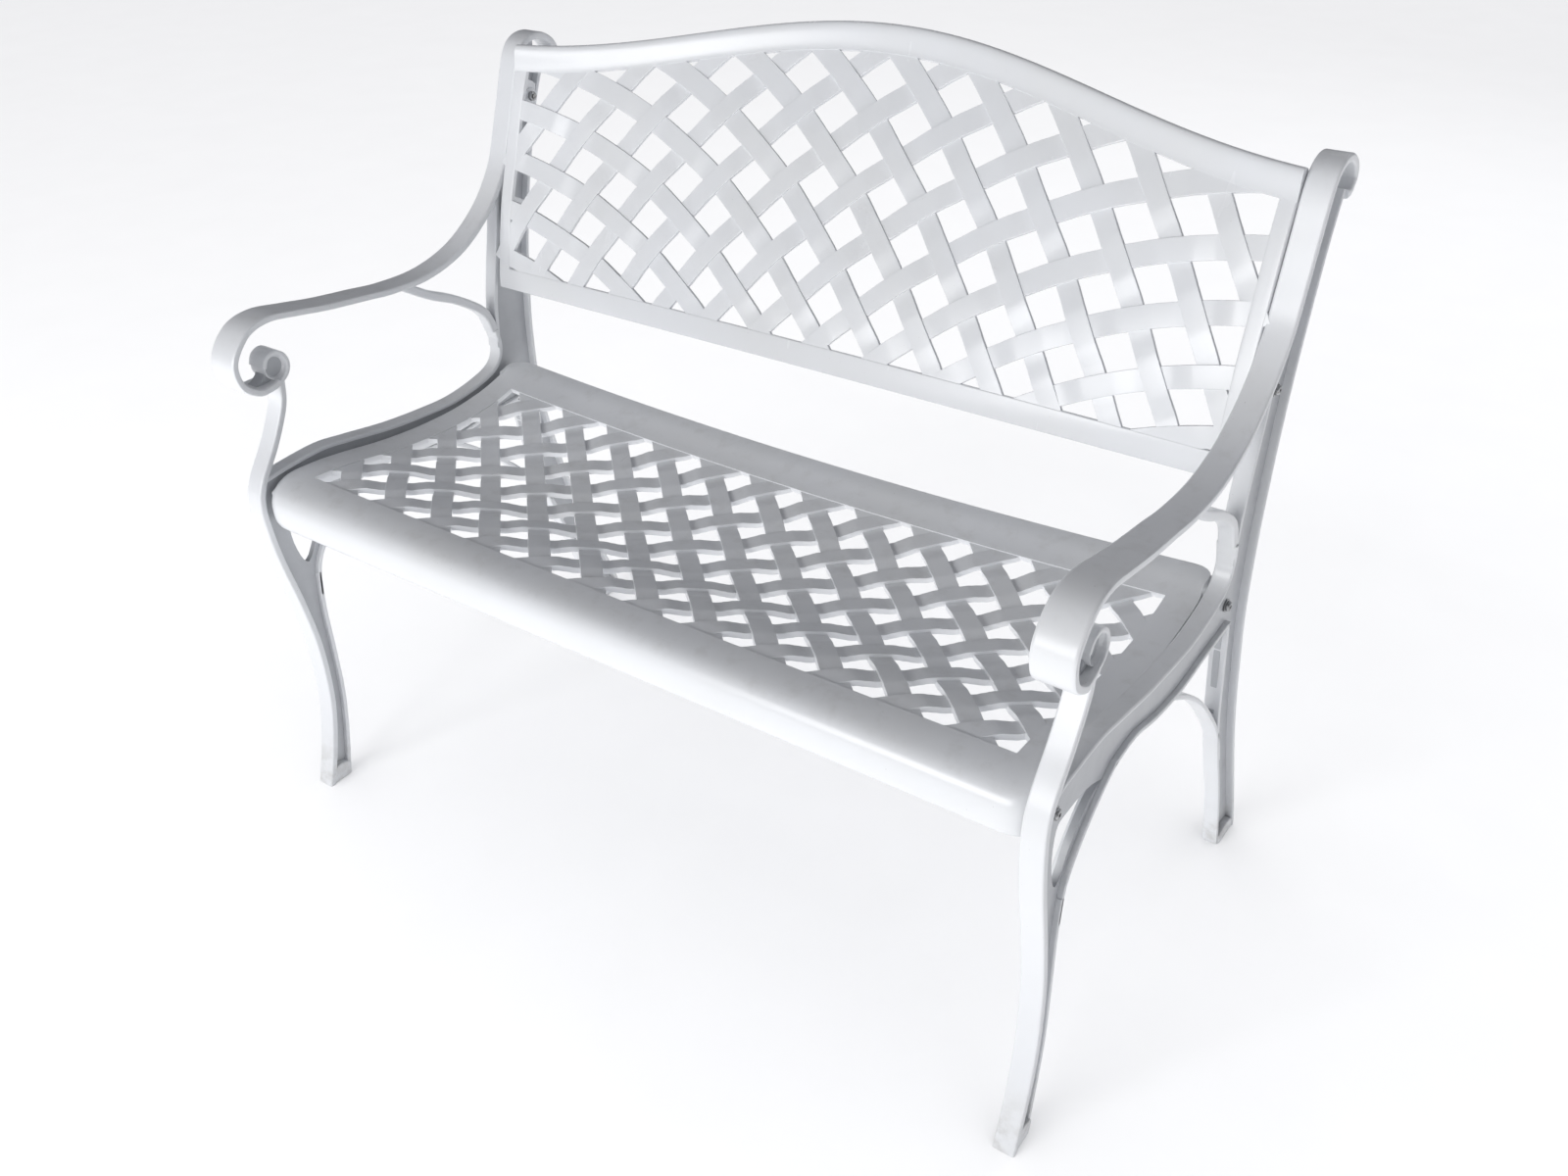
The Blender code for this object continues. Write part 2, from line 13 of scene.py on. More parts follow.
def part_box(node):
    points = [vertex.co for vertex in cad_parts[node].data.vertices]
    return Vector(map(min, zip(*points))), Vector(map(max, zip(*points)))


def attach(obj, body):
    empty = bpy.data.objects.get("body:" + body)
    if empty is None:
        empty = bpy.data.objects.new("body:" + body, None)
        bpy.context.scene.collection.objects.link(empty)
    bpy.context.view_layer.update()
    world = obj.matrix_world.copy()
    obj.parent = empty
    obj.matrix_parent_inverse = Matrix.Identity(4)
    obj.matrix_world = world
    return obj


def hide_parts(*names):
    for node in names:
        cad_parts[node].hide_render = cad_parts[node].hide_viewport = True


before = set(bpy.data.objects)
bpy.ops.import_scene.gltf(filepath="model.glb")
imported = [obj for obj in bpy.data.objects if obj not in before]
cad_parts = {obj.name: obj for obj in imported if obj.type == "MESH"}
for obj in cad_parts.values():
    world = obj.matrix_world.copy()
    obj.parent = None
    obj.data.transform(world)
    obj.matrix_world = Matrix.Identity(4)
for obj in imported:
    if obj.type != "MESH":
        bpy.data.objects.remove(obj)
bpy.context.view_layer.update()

MM = 0.001
DEPTH_TO_CENTRE = 294.2  # depth behind the front feet that lies at y = 0, in millimetres
BODY = "root"
SHARP = math.radians(32.0)
# Mesh attribute that marks faces taking painted shade between rims.
RECESS = "recess"
FACING = 0.9  # cosine above which a face counts as looking along a direction
FLANGE_THICK = 6.0  # of the side flanges of seat and back, in millimetres
SHORTEST = 2.6  # shortest band that is made, in lengths of its hidden end
LUG_RADIUS = 10.0
LUG_DEPTHS = (7.5, 0.5)  # ends of a boss inside the flange's outer face, in millimetres

Point = tuple[float, float]
Outline = list[Point]
log = logging.getLogger("bench")


def drawn(*points: Point) -> Outline:
    """Default value of a size field that holds an outline."""
    return field(default_factory=lambda: list(points))


class Side(Enum):
    """The two ends of the bench."""

    LEFT = -1
    RIGHT = 1

    @property
    def word(self) -> str:
        """The side's name as the pieces use it."""
        return self.name.lower()


class Fan(Enum):
    """The two families of bands in a weave, by the way they lean."""

    FALLING = -1
    RISING = 1


# ---------------------------------------------------------------- curves


def place(x: float, depth: float, height: float) -> Vector:
    """World position of a point.

    Args:
        x: distance from the middle plane, in millimetres.
        depth: distance behind the front feet, in millimetres.
        height: distance above the floor, in millimetres.

    Returns:
        The position in metres.
    """
    return Vector((x, depth - DEPTH_TO_CENTRE, height)) * MM


def curve_through(points: Outline, per_span: int) -> Outline:
    """Smooth curve through points.

    Args:
        points: the points to pass through.
        per_span: steps between two points.

    Returns:
        The points of a Catmull-Rom curve.
    """
    ends = [points[0], *points, points[-1]]
    found: Outline = []
    for a, b, c, d in zip(ends, ends[1:], ends[2:], ends[3:]):
        for step in range(per_span):
            t = step / per_span
            found.append(tuple(
                0.5 * (
                    2 * q + (r - p) * t + (2 * p - 5 * q + 4 * r - s) * t * t
                    + (3 * q - p - 3 * r + s) * t ** 3
                )
                for p, q, r, s in zip(a, b, c, d)
            ))
    return [*found, (float(points[-1][0]), float(points[-1][1]))]


def beside(path: Outline, offset: float) -> Outline:
    """Path moved sideways.

    Args:
        path: the points of the path.
        offset: how far to the left of the direction of travel.

    Returns:
        The moved points.
    """
    found: Outline = []
    for i, (y, z) in enumerate(path):
        before, after = path[max(i - 1, 0)], path[min(i + 1, len(path) - 1)]
        dy, dz = after[0] - before[0], after[1] - before[1]
        length = math.hypot(dy, dz) or 1.0
        found.append((y - dz / length * offset, z + dy / length * offset))
    return found


def between(table: Outline, at: float) -> float:
    """Value of a table.

    Args:
        table: pairs of place and value, in order of place.
        at: the place asked for.

    Returns:
        The value, on straight lines between the pairs.
    """
    for (a, first), (b, second) in zip(table, table[1:]):
        if at <= b:
            return first + (second - first) * max(0.0, (at - a) / (b - a))
    return table[-1][1]


def eased(value: float) -> float:
    """Smooth step from 0 to 1 of a value from 0 to 1."""
    held = min(max(value, 0.0), 1.0)
    return held * held * (3.0 - 2.0 * held)


# ---------------------------------------------------------------- modelling by hand


def edit() -> None:
    """Goes into edit mode."""
    bpy.ops.object.mode_set(mode="EDIT")


def leave() -> None:
    """Goes back to object mode."""
    bpy.ops.object.mode_set(mode="OBJECT")


def edit_all() -> None:
    """Goes into edit mode with everything selected."""
    edit()
    bpy.ops.mesh.select_all(action="SELECT")


def put_down_all() -> None:
    """Leaves nothing selected, in object mode."""
    if bpy.context.object is not None and bpy.context.object.mode != "OBJECT":
        leave()
    bpy.ops.object.select_all(action="DESELECT")


def pick_up(*pieces: bpy.types.Object) -> bpy.types.Object:
    """Selects only these objects.

    Args:
        pieces: the objects, of which the first becomes active.

    Returns:
        The first object.
    """
    put_down_all()
    for piece in pieces:
        piece.select_set(True)
    bpy.context.view_layer.objects.active = pieces[0]
    return pieces[0]


def named(piece: bpy.types.Object, name: str) -> bpy.types.Object:
    """Names an object and its mesh.

    Args:
        piece: the object.
        name: its new name.

    Returns:
        The object.
    """
    piece.name = name
    piece.data.name = name
    return piece


def turn(angle: float, axis: str, centre: Vector) -> None:
    """Turns what is selected anticlockwise about an axis through a point.

    Args:
        angle: the angle in radians.
        axis: X, Y or Z.
        centre: the point the axis passes through.
    """
    bpy.ops.transform.rotate(value=-angle, orient_axis=axis, orient_type="GLOBAL", center_override=centre)


def widen(across: float, centre: Vector) -> None:
    """Scales what is selected along X about a point.

    Args:
        across: the factor.
        centre: the point that stays.
    """
    bpy.ops.transform.resize(value=(across, 1.0, 1.0), orient_type="GLOBAL", center_override=centre)


def pull(by: Vector) -> None:
    """Extrudes what is selected.

    Args:
        by: how far, in metres.
    """
    bpy.ops.mesh.extrude_region_move(TRANSFORM_OT_translate={"value": by, "orient_type": "GLOBAL"})


def face_outwards(piece: bpy.types.Object) -> None:
    """Merges doubles and turns every face outwards.

    Args:
        piece: the closed mesh.
    """
    pick_up(piece)
    edit_all()
    bpy.ops.mesh.remove_doubles(threshold=1e-6)
    bpy.ops.mesh.normals_make_consistent(inside=False)
    leave()


def use(piece: bpy.types.Object, kind: str, **settings: object) -> None:
    """Adds a modifier and applies it.

    Args:
        piece: the mesh object.
        kind: the modifier's type.
        settings: its settings.
    """
    pick_up(piece)
    change = piece.modifiers.new(kind, kind)
    for name, value in settings.items():
        setattr(change, name, value)
    bpy.ops.object.modifier_apply(modifier=change.name)


def soften_edges(
    piece: bpy.types.Object, radius: float, segments: int = 2, sharper_than: float = 50.0,
) -> None:
    """Rounds the sharp edges of a piece.

    Args:
        piece: the mesh object.
        radius: width of the rounding, in millimetres.
        segments: steps in the rounding.
        sharper_than: smallest angle that is rounded, in degrees.
    """
    use(piece, "BEVEL", width=radius * MM, segments=segments, limit_method="ANGLE",
        angle_limit=math.radians(sharper_than), use_clamp_overlap=True)


def joined(pieces: list[bpy.types.Object], name: str) -> bpy.types.Object:
    """Joins objects into one.

    Args:
        pieces: the mesh objects.
        name: name of the result.

    Returns:
        The joined object.
    """
    first = pick_up(*pieces)
    bpy.ops.object.join()
    return named(first, name)


def smoothed(piece: bpy.types.Object) -> bpy.types.Object:
    """Shades round stretches smooth and leaves sharp edges.

    Args:
        piece: the mesh object.

    Returns:
        The same object.
    """
    pick_up(piece)
    bpy.ops.object.shade_smooth_by_angle(angle=SHARP)
    use(piece, "WEIGHTED_NORMAL", mode="FACE_AREA", weight=50, keep_sharp=True)
    return piece


def stood_on_floor(piece: bpy.types.Object) -> bpy.types.Object:
    """Flattens what reaches below the floor.

    Args:
        piece: the mesh object.

    Returns:
        The same object.
    """
    for vertex in piece.data.vertices:
        vertex.co.z = max(vertex.co.z, 0.0)
    return piece


def recessed(piece: bpy.types.Object) -> bpy.types.Object:
    """Marks a piece as lying between rims, where painted shade makes its colour duller and darker.

    Args:
        piece: the mesh object.

    Returns:
        The same object.
    """
    mark = piece.data.attributes.new(RECESS, "FLOAT", "POINT")
    mark.data.foreach_set("value", [1.0] * len(piece.data.vertices))
    return piece


def pick_faces(piece: bpy.types.Object, wanted: Callable[[bpy.types.MeshPolygon], bool]) -> None:
    """Selects some faces and stays in edit mode.

    Args:
        piece: the mesh object.
        wanted: says whether a face is selected.
    """
    pick_up(piece)
    edit()
    bpy.ops.mesh.select_mode(type="FACE")
    bpy.ops.mesh.select_all(action="DESELECT")
    leave()
    for face in piece.data.polygons:
        face.select = wanted(face)
    edit()


def delete_faces(piece: bpy.types.Object, unwanted: Callable[[Vector], bool]) -> None:
    """Removes faces by place.

    Args:
        piece: the mesh object.
        unwanted: says whether a face with this centre goes.
    """
    pick_faces(piece, lambda face: unwanted(face.center))
    bpy.ops.mesh.delete(type="FACE")
    leave()


def carve(piece: bpy.types.Object, cutter: bpy.types.Object, operation: str = "DIFFERENCE") -> None:
    """Cuts a piece with another, which is used up.

    Args:
        piece: what is cut.
        cutter: what cuts.
        operation: the kind of Boolean.
    """
    use(piece, "BOOLEAN", operation=operation, solver="EXACT", object=cutter)
    bpy.data.objects.remove(cutter, do_unlink=True)


def rod(x_from: float, x_to: float, radius: float, axis: Vector, sides: int) -> bpy.types.Object:
    """Bar along X with its place in its mesh.

    Args:
        x_from: one end, in metres.
        x_to: the other end, in metres.
        radius: in metres.
        axis: a point on the axis.
        sides: flats round it.

    Returns:
        The new object.
    """
    put_down_all()
    bpy.ops.mesh.primitive_cylinder_add(
        vertices=sides, radius=radius, depth=abs(x_to - x_from),
        location=((x_from + x_to) / 2, axis.y, axis.z), rotation=(0.0, math.pi / 2, 0.0),
    )
    bpy.ops.object.transform_apply(location=True, rotation=True, scale=True)
    return bpy.context.object


def plate(outline: Outline, x_low: float, x_high: float) -> bpy.types.Object:
    """Flat plate with a side-view outline, from a filled circle that is reshaped and pulled.

    Args:
        outline: its points as depth and height.
        x_low: lower face across the bench, in millimetres.
        x_high: upper face across the bench, in millimetres.

    Returns:
        The new object.
    """
    put_down_all()
    bpy.ops.mesh.primitive_circle_add(vertices=len(outline), radius=1.0, fill_type="NGON")
    made = bpy.context.object
    for vertex, (depth, height) in zip(made.data.vertices, outline):
        vertex.co = place(x_low, depth, height)
    edit_all()
    pull(Vector((x_high - x_low, 0.0, 0.0)) * MM)
    leave()
    face_outwards(made)
    return made


def draped_grid(across: int, along: int, at: Callable[[float, float], Vector]) -> bpy.types.Object:
    """Grid whose points are laid on a curved surface.

    Args:
        across: steps in the first direction.
        along: steps in the second direction.
        at: gives the position for shares from 0 to 1 in both directions.

    Returns:
        The new object.
    """
    put_down_all()
    bpy.ops.mesh.primitive_grid_add(x_subdivisions=across, y_subdivisions=along, size=1.0)
    made = bpy.context.object
    for vertex in made.data.vertices:
        vertex.co = at(vertex.co.x + 0.5, vertex.co.y + 0.5)
    return made


@dataclass
class Strip:
    """A cast strip that follows a side outline, pulled out step by step from its end section."""

    outline: Outline
    thickness: float
    half_widths: Outline
    inward: float = 0.0
    corner: float = 1.8
    corner_steps: int = 2
    per_span: int = 5

    def path(self) -> Outline:
        """Middle line of the strip."""
        return beside(curve_through(self.outline, self.per_span), self.inward)

    def build(self, x: float) -> bpy.types.Object:
        """Models the strip.

        Args:
            x: middle of the strip across the bench, in millimetres.

        Returns:
            The new object.
        """
        path = self.path()
        points = [place(x, *point) for point in path]
        headings = []
        for i in range(len(path)):
            before, after = path[max(i - 1, 0)], path[min(i + 1, len(path) - 1)]
            headings.append(math.atan2(after[1] - before[1], after[0] - before[0]))
        halves = [between(self.half_widths, i / (len(path) - 1)) for i in range(len(path))]
        put_down_all()
        bpy.ops.mesh.primitive_plane_add(size=1.0)
        made = bpy.context.object
        edit_all()
        bpy.ops.transform.resize(value=(2 * halves[0] * MM, self.thickness * MM, 1.0))
        bpy.ops.mesh.bevel(offset=self.corner * MM, segments=self.corner_steps, affect="VERTICES")
        bpy.ops.mesh.select_all(action="SELECT")
        turn(headings[0] - math.pi / 2, "X", Vector())
        bpy.ops.transform.translate(value=points[0])
        for i in range(1, len(points)):
            pull(points[i] - points[i - 1])
            bend = (headings[i] - headings[i - 1] + math.pi) % (2 * math.pi) - math.pi
            turn(bend, "X", points[i])
            widen(halves[i] / halves[i - 1], points[i])
        leave()
        face_outwards(made)
        return made


# ---------------------------------------------------------------- shader maths


class Signal:
    """A number that varies over a surface. Arithmetic on it adds Math nodes."""

    def __init__(self, recipe: "Recipe", socket: bpy.types.NodeSocket) -> None:
        """Wraps an output socket of a recipe."""
        self.recipe = recipe
        self.socket = socket

    def _with(self, operation: str, first: object, second: object) -> "Signal":
        """One Math node on two values."""
        made = self.recipe.node("ShaderNodeMath", {"operation": operation}, {0: first, 1: second})
        return Signal(self.recipe, made.outputs[0])

    def __add__(self, other: object) -> "Signal":
        """Sum."""
        return self._with("ADD", self, other)

    __radd__ = __add__

    def __sub__(self, other: object) -> "Signal":
        """Difference."""
        return self._with("SUBTRACT", self, other)

    def __rsub__(self, other: object) -> "Signal":
        """Difference from a number."""
        return self._with("SUBTRACT", other, self)

    def __mul__(self, other: object) -> "Signal":
        """Product."""
        return self._with("MULTIPLY", self, other)

    def above(self, low: float, high: float) -> "Signal":
        """Smooth step.

        Args:
            low: value that gives 0.
            high: value that gives 1.

        Returns:
            The step as a signal.
        """
        made = self.recipe.node(
            "ShaderNodeMapRange", {"interpolation_type": "SMOOTHSTEP"},
            {"Value": self, "From Min": low, "From Max": high},
        )
        return Signal(self.recipe, made.outputs[0])


class Recipe:
    """The node tree of one material."""

    def __init__(self, name: str) -> None:
        """Starts a material with its Principled shader."""
        self.material = bpy.data.materials.new(name)
        self.material.use_nodes = True
        self.tree = self.material.node_tree
        self.shader = self.tree.nodes["Principled BSDF"]
        coordinates = self.node("ShaderNodeTexCoord", {}, {})
        self.place = coordinates.outputs["Object"]

    def node(self, kind: str, settings: dict[str, object], inputs: dict[object, object]) -> bpy.types.Node:
        """Adds a node.

        Args:
            kind: the node's type.
            settings: properties set first.
            inputs: values or links of its sockets, by name or number.

        Returns:
            The new node.
        """
        made = self.tree.nodes.new(kind)
        for name, value in settings.items():
            setattr(made, name, value)
        for key, value in inputs.items():
            self.feed(made.inputs[key], value)
        return made

    def feed(self, socket: bpy.types.NodeSocket, value: object) -> None:
        """Links or sets a socket.

        Args:
            socket: the input.
            value: a signal, an output socket, a number or a tuple.
        """
        if isinstance(value, Signal):
            value = value.socket
        if isinstance(value, bpy.types.NodeSocket):
            self.tree.links.new(value, socket)
        else:
            socket.default_value = value

    def stretched(self, scale: tuple[float, float, float], by: float = 0.0) -> bpy.types.NodeSocket:
        """Object coordinates scaled, and turned about Z.

        Args:
            scale: factor on each axis.
            by: angle in radians.

        Returns:
            The coordinates as a socket.
        """
        given = {"Vector": self.place, "Scale": scale, "Rotation": (0.0, 0.0, by)}
        made = self.node("ShaderNodeMapping", {}, given)
        return made.outputs["Vector"]

    def noise(self, scale: float, detail: float = 2.0, rough: float = 0.5, at: object = None) -> Signal:
        """Cloudy noise.

        Args:
            scale: lumps per metre.
            detail: finer layers.
            rough: strength of the finer layers.
            at: coordinates, or the object's own.

        Returns:
            The noise, near 0.5.
        """
        made = self.node("ShaderNodeTexNoise", {}, {
            "Vector": at if at is not None else self.place,
            "Scale": scale, "Detail": detail, "Roughness": rough,
        })
        return Signal(self, made.outputs["Fac"])

    def specks(self, scale: float, size: float) -> Signal:
        """Scattered round specks.

        Args:
            scale: cells per metre.
            size: radius of a speck as a share of a cell.

        Returns:
            1 in a speck and 0 outside.
        """
        made = self.node("ShaderNodeTexVoronoi", {}, {"Vector": self.place, "Scale": scale})
        return 1.0 - Signal(self, made.outputs["Distance"]).above(size * 0.4, size)

    def painted(self, name: str) -> Signal:
        """Value that the mesh stores under a name."""
        made = self.node("ShaderNodeAttribute", {"attribute_name": name}, {})
        return Signal(self, made.outputs["Fac"])

    def up(self) -> Signal:
        """How far a surface faces upwards, from -1 to 1."""
        geometry = self.node("ShaderNodeNewGeometry", {}, {})
        split = self.node("ShaderNodeSeparateXYZ", {}, {0: geometry.outputs["Normal"]})
        return Signal(self, split.outputs["Z"])

    def height(self) -> Signal:
        """Height above the floor, in metres."""
        split = self.node("ShaderNodeSeparateXYZ", {}, {0: self.place})
        return Signal(self, split.outputs["Z"])

    def blended(self, share: object, first: object, second: object) -> bpy.types.NodeSocket:
        """Mix of two colours.

        Args:
            share: how much of the second.
            first: a colour or socket.
            second: a colour or socket.

        Returns:
            The colour as a socket.
        """
        made = self.node("ShaderNodeMix", {"data_type": "RGBA"}, {0: share, 6: first, 7: second})
        return made.outputs[2]

    def finish(
        self, colour: object, roughness: object, relief: Signal, depth: float, strength: float,
    ) -> None:
        """Connects the shader.

        Args:
            colour: base colour.
            roughness: roughness signal.
            relief: height signal.
            depth: depth of the relief, in metres.
            strength: strength of the relief.
        """
        bump = self.node("ShaderNodeBump", {}, {"Height": relief, "Distance": depth, "Strength": strength})
        self.feed(self.shader.inputs["Base Color"], colour)
        self.feed(self.shader.inputs["Roughness"], roughness)
        self.feed(self.shader.inputs["Normal"], bump.outputs["Normal"])


Colour = tuple[float, float, float, float]


@dataclass(frozen=True)
class PowderCoat:
    """White satin powder coat over cast aluminium."""

    name: str
    body: Colour = (0.80, 0.815, 0.84, 1.0)
    warm: Colour = (0.775, 0.785, 0.795, 1.0)
    dust: Colour = (0.50, 0.49, 0.47, 1.0)
    grit: Colour = (0.30, 0.29, 0.28, 1.0)
    # Bluish grey of the painted shade in the recesses between rims.
    shade: Colour = (0.36, 0.375, 0.40, 1.0)
    roughness: float = 0.36
    coat: float = 0.2
    coat_roughness: float = 0.2
    specular: float = 0.55

    def make(self) -> bpy.types.Material:
        """Builds the material.

        Returns:
            The material.
        """
        mix = Recipe(self.name)
        clouds = mix.noise(7.0, 3.0)
        mottle = mix.noise(48.0, 4.0, 0.6)
        peel = mix.noise(520.0, 1.0)
        ripple = mix.noise(95.0, 2.0)
        smear = mix.noise(30.0, 3.0, 0.6, mix.stretched((1.0, 0.25, 0.25), 0.6))
        facing = mix.up().above(0.35, 1.0)
        settled = facing * mottle.above(0.48, 0.78) * 0.22
        low = (1.0 - mix.height().above(0.0, 0.09)) * mottle.above(0.36, 0.66) * 0.55
        grime = settled + low
        pits = mix.specks(85.0, 0.05) * clouds.above(0.45, 0.6)
        colour = mix.blended(clouds.above(0.35, 0.7) * 0.7, self.body, self.warm)
        # Painted shade: faces marked as recessed are blended toward a bluish grey, as if shadowed between
        # the rims.
        painted_recess_shade = mix.painted(RECESS) * (0.55 + mottle * 0.25)
        colour = mix.blended(painted_recess_shade, colour, self.shade)
        colour = mix.blended(grime, colour, self.dust)
        colour = mix.blended(pits * 0.6, colour, self.grit)
        roughness = self.roughness + (smear - 0.5) * 0.07 + grime * 0.4 + pits * 0.2
        relief = peel * 0.6 + ripple * 0.3 - pits
        mix.finish(colour, roughness, relief, 0.00012, 0.5)
        for name, value in (
            ("Coat Weight", self.coat),
            ("Coat Roughness", self.coat_roughness),
            ("Specular IOR Level", self.specular),
        ):
            mix.shader.inputs[name].default_value = value
        return mix.material


@dataclass(frozen=True)
class ZincSteel:
    """Dull zinc-plated steel with turning marks and a little tarnish."""

    name: str
    bright: Colour = (0.46, 0.47, 0.48, 1.0)
    dull: Colour = (0.24, 0.235, 0.23, 1.0)
    rust: Colour = (0.20, 0.11, 0.06, 1.0)

    def make(self) -> bpy.types.Material:
        """Builds the material.

        Returns:
            The material.
        """
        mix = Recipe(self.name)
        patches = mix.noise(260.0, 4.0, 0.6)
        stains = mix.noise(420.0, 3.0)
        lines = mix.noise(900.0, 2.0, 0.5, mix.stretched((1.0, 0.15, 1.0)))
        tarnish = patches.above(0.42, 0.66)
        spots = stains.above(0.60, 0.72)
        colour = mix.blended(tarnish, self.bright, self.dull)
        colour = mix.blended(spots * 0.5, colour, self.rust)
        roughness = 0.33 + tarnish * 0.2 + spots * 0.25 + (lines - 0.5) * 0.2
        mix.finish(colour, roughness, lines * 0.5 + patches * 0.5, 0.0001, 0.5)
        mix.feed(mix.shader.inputs["Metallic"], 1.0 - spots * 0.7)
        return mix.material


@dataclass(frozen=True)
class FloorPaper:
    """Plain pale studio floor."""

    name: str = "studio_floor"
    tone: Colour = (0.93, 0.93, 0.935, 1.0)
    second_tone: Colour = (0.90, 0.90, 0.905, 1.0)

    def make(self) -> bpy.types.Material:
        """Builds the material.

        Returns:
            The material.
        """
        mix = Recipe(self.name)
        grain = mix.noise(6.0, 2.0)
        mix.finish(mix.blended(grain, self.tone, self.second_tone), grain * 0.1 + 0.75, grain, 0.0001, 0.1)
        return mix.material


def dress(piece: bpy.types.Object, material: bpy.types.Material) -> None:
    """Gives a piece one material.

    Args:
        piece: the mesh object.
        material: its finish.
    """
    piece.data.materials.clear()
    piece.data.materials.append(material)


def hand_over(piece: bpy.types.Object, nodes: Iterable[str]) -> None:
    """Ties a finished piece to the frame.

    Args:
        piece: the finished object.
        nodes: the nodes that it stands for.
    """
    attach(piece, BODY)
    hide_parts(*nodes)
    log.info("%s: %d faces", piece.name, len(piece.data.polygons))


# ---------------------------------------------------------------- side castings


@dataclass
class SideCasting:
    """One end of the bench: arm strap, scroll, legs, seat rail and brace, cast in one piece."""

    finish: bpy.types.Material
    web_thick: float = 7.0
    leg_half: float = 12.0
    rim_half: float = 9.0
    strap_thick: float = 8.5
    rim_thick: float = 6.0
    brace_thick: float = 11.0
    scroll: Point = (59.5, 571.0)
    scroll_radius: float = 14.5
    scroll_half: float = 12.5
    scroll_web: float = 8.0
    bowl: Outline = drawn(
        (0.9, 0.0), (0.8, 1.4), (1.4, 2.8), (2.0, 2.2), (2.4, 1.4), (2.6, 0.7), (2.4, 0.2),
    )
    curl_thick: float = 5.0
    curl: Outline = drawn(
        (44, 552.5), (59, 553.5), (70, 560), (75, 571), (71.5, 582), (61, 588), (50, 584), (45.5, 574),
    )
    curl_halves: Outline = drawn((0.0, 17.0), (0.35, 16.0), (0.7, 14.0), (1.0, 13.0))
    comma: Outline = drawn(
        (30, 555.5), (38, 558), (44, 563), (46.5, 568), (46.5, 575), (51, 583), (61, 587), (71, 581),
        (74, 571), (69, 561), (59, 554), (44, 552), (31, 552.5),
    )
    strap_face: Outline = drawn(
        (539, 796), (551, 797), (562, 811), (555, 828), (533, 840), (508, 838), (490, 822), (473, 778),
        (456, 731), (440, 694), (407, 654), (357, 621), (300, 606), (242, 606), (195, 612), (143, 619),
        (100, 627), (60, 633), (27, 625), (3, 597), (6, 566), (27, 549), (47, 547.5), (60, 550),
    )
    strap_halves: Outline = drawn(
        (0.0, 14.0), (0.44, 14.0), (0.62, 17.0), (0.8, 20.0), (0.92, 20.0), (1.0, 17.0),
    )
    rail_halves: Outline = drawn((0.0, 12.0), (0.08, 9.6), (0.86, 9.6), (1.0, 11.0))
    leg_face: Outline = drawn(
        (60, 552), (55, 524), (34, 485), (8, 447), (-1, 418), (1, 375), (7, 334), (19, 275), (28, 215),
        (30, 160), (27, 110), (16, 55), (0, 0),
    )
    leg_back: Outline = drawn((58, 300), (54, 250), (54, 187), (53, 125), (46, 65), (34, 0))
    rail_top: Outline = drawn(
        (13, 446), (39, 448), (98, 451), (142, 445), (210, 434), (283, 428), (318, 428), (354, 433),
        (385, 442), (399, 456), (402, 474), (398, 494),
    )
    brace_top: Outline = drawn((398, 494), (384, 524), (343, 553), (300, 574), (258, 600))
    rail_low: Outline = drawn(
        (146, 392), (190, 396), (240, 385), (300, 379), (360, 384), (424, 387),
    )
    gusset: Outline = drawn((150, 394), (120, 376), (86, 346), (62, 312), (55, 270))
    arch: Outline = drawn(
        (286, 379), (330, 352), (378, 313), (428, 259), (460, 215), (478, 172),
    )
    post_front: Outline = drawn(
        (434, 674), (430, 650), (423, 614), (411, 560), (404, 520), (400, 470),
    )
    rear_leg_front: Outline = drawn(
        (421, 390), (436, 310), (449, 245), (474, 175), (505, 100), (537, 0),
    )
    post_back: Outline = drawn(
        (533, 806), (514, 762), (496, 704), (481, 647), (470, 588), (463, 530), (459, 480), (459, 412),
        (464, 363), (476, 307), (490, 248), (512, 180), (541, 106), (571, 30), (580, 0),
    )
    front_window: Outline = drawn(
        (128, 386), (98, 397), (58, 399), (38, 393), (36, 352), (50, 318), (76, 354), (104, 378),
    )
    rear_window: Outline = drawn(
        (298, 370), (352, 373), (414, 377), (430, 318), (441, 259), (402, 296), (350, 338),
    )
    front_foot: Outline = drawn((0, 0), (34, 0), (39, 16), (34, 21), (22, 24), (9, 21), (5, 16))
    rear_foot: Outline = drawn(
        (537, 0), (580, 0), (575, 14), (567, 19), (552, 22), (540, 20), (533, 14),
    )
    # Where the edge of the thin wall leaves one strip for the next, in millimetres.
    leg_top: float = 440.0
    post_span: Point = (500.0, 672.0)
    strap_end: Point = (532.0, 692.0)
    back_top: float = 795.0
    rear_leg_top: float = 168.0
    low_span: Point = (156.0, 280.0)
    gusset_low: float = 262.0

    def web_outline(self) -> Outline:
        """Outline of the thin wall that fills the casting.

        Returns:
            Its points as depth and height.
        """
        steps = 5
        leg = beside(curve_through(self.leg_face, steps), self.strap_thick / 2)
        strap = beside(curve_through(self.strap_face, steps), self.strap_thick / 2)
        leg_part = [p for p in leg if p[1] < self.leg_top][::-1]
        rail = curve_through(self.rail_top, steps)
        from_low, to_high = self.post_span
        post_up = [p for p in curve_through(self.post_front, steps) if from_low < p[1] < to_high][::-1]
        deepest, lowest = self.strap_end
        strap_up = [p for p in strap if p[1] > lowest and p[0] < deepest][::-1]
        post_down = [p for p in curve_through(self.post_back, steps) if p[1] < self.back_top]
        leg_up = [p for p in curve_through(self.rear_leg_front, steps) if p[1] < self.rear_leg_top][::-1]
        arch = curve_through(self.arch, steps)[:-1][::-1]
        near, far = self.low_span
        low = [p for p in curve_through(self.rail_low, steps) if near < p[0] < far][::-1]
        gusset = curve_through(self.gusset, steps)
        leg_down = [p for p in curve_through(self.leg_back, steps) if p[1] < self.gusset_low]
        return [*leg_part, *rail, *post_up, *strap_up, *post_down, *leg_up, *arch, *low, *gusset, *leg_down]

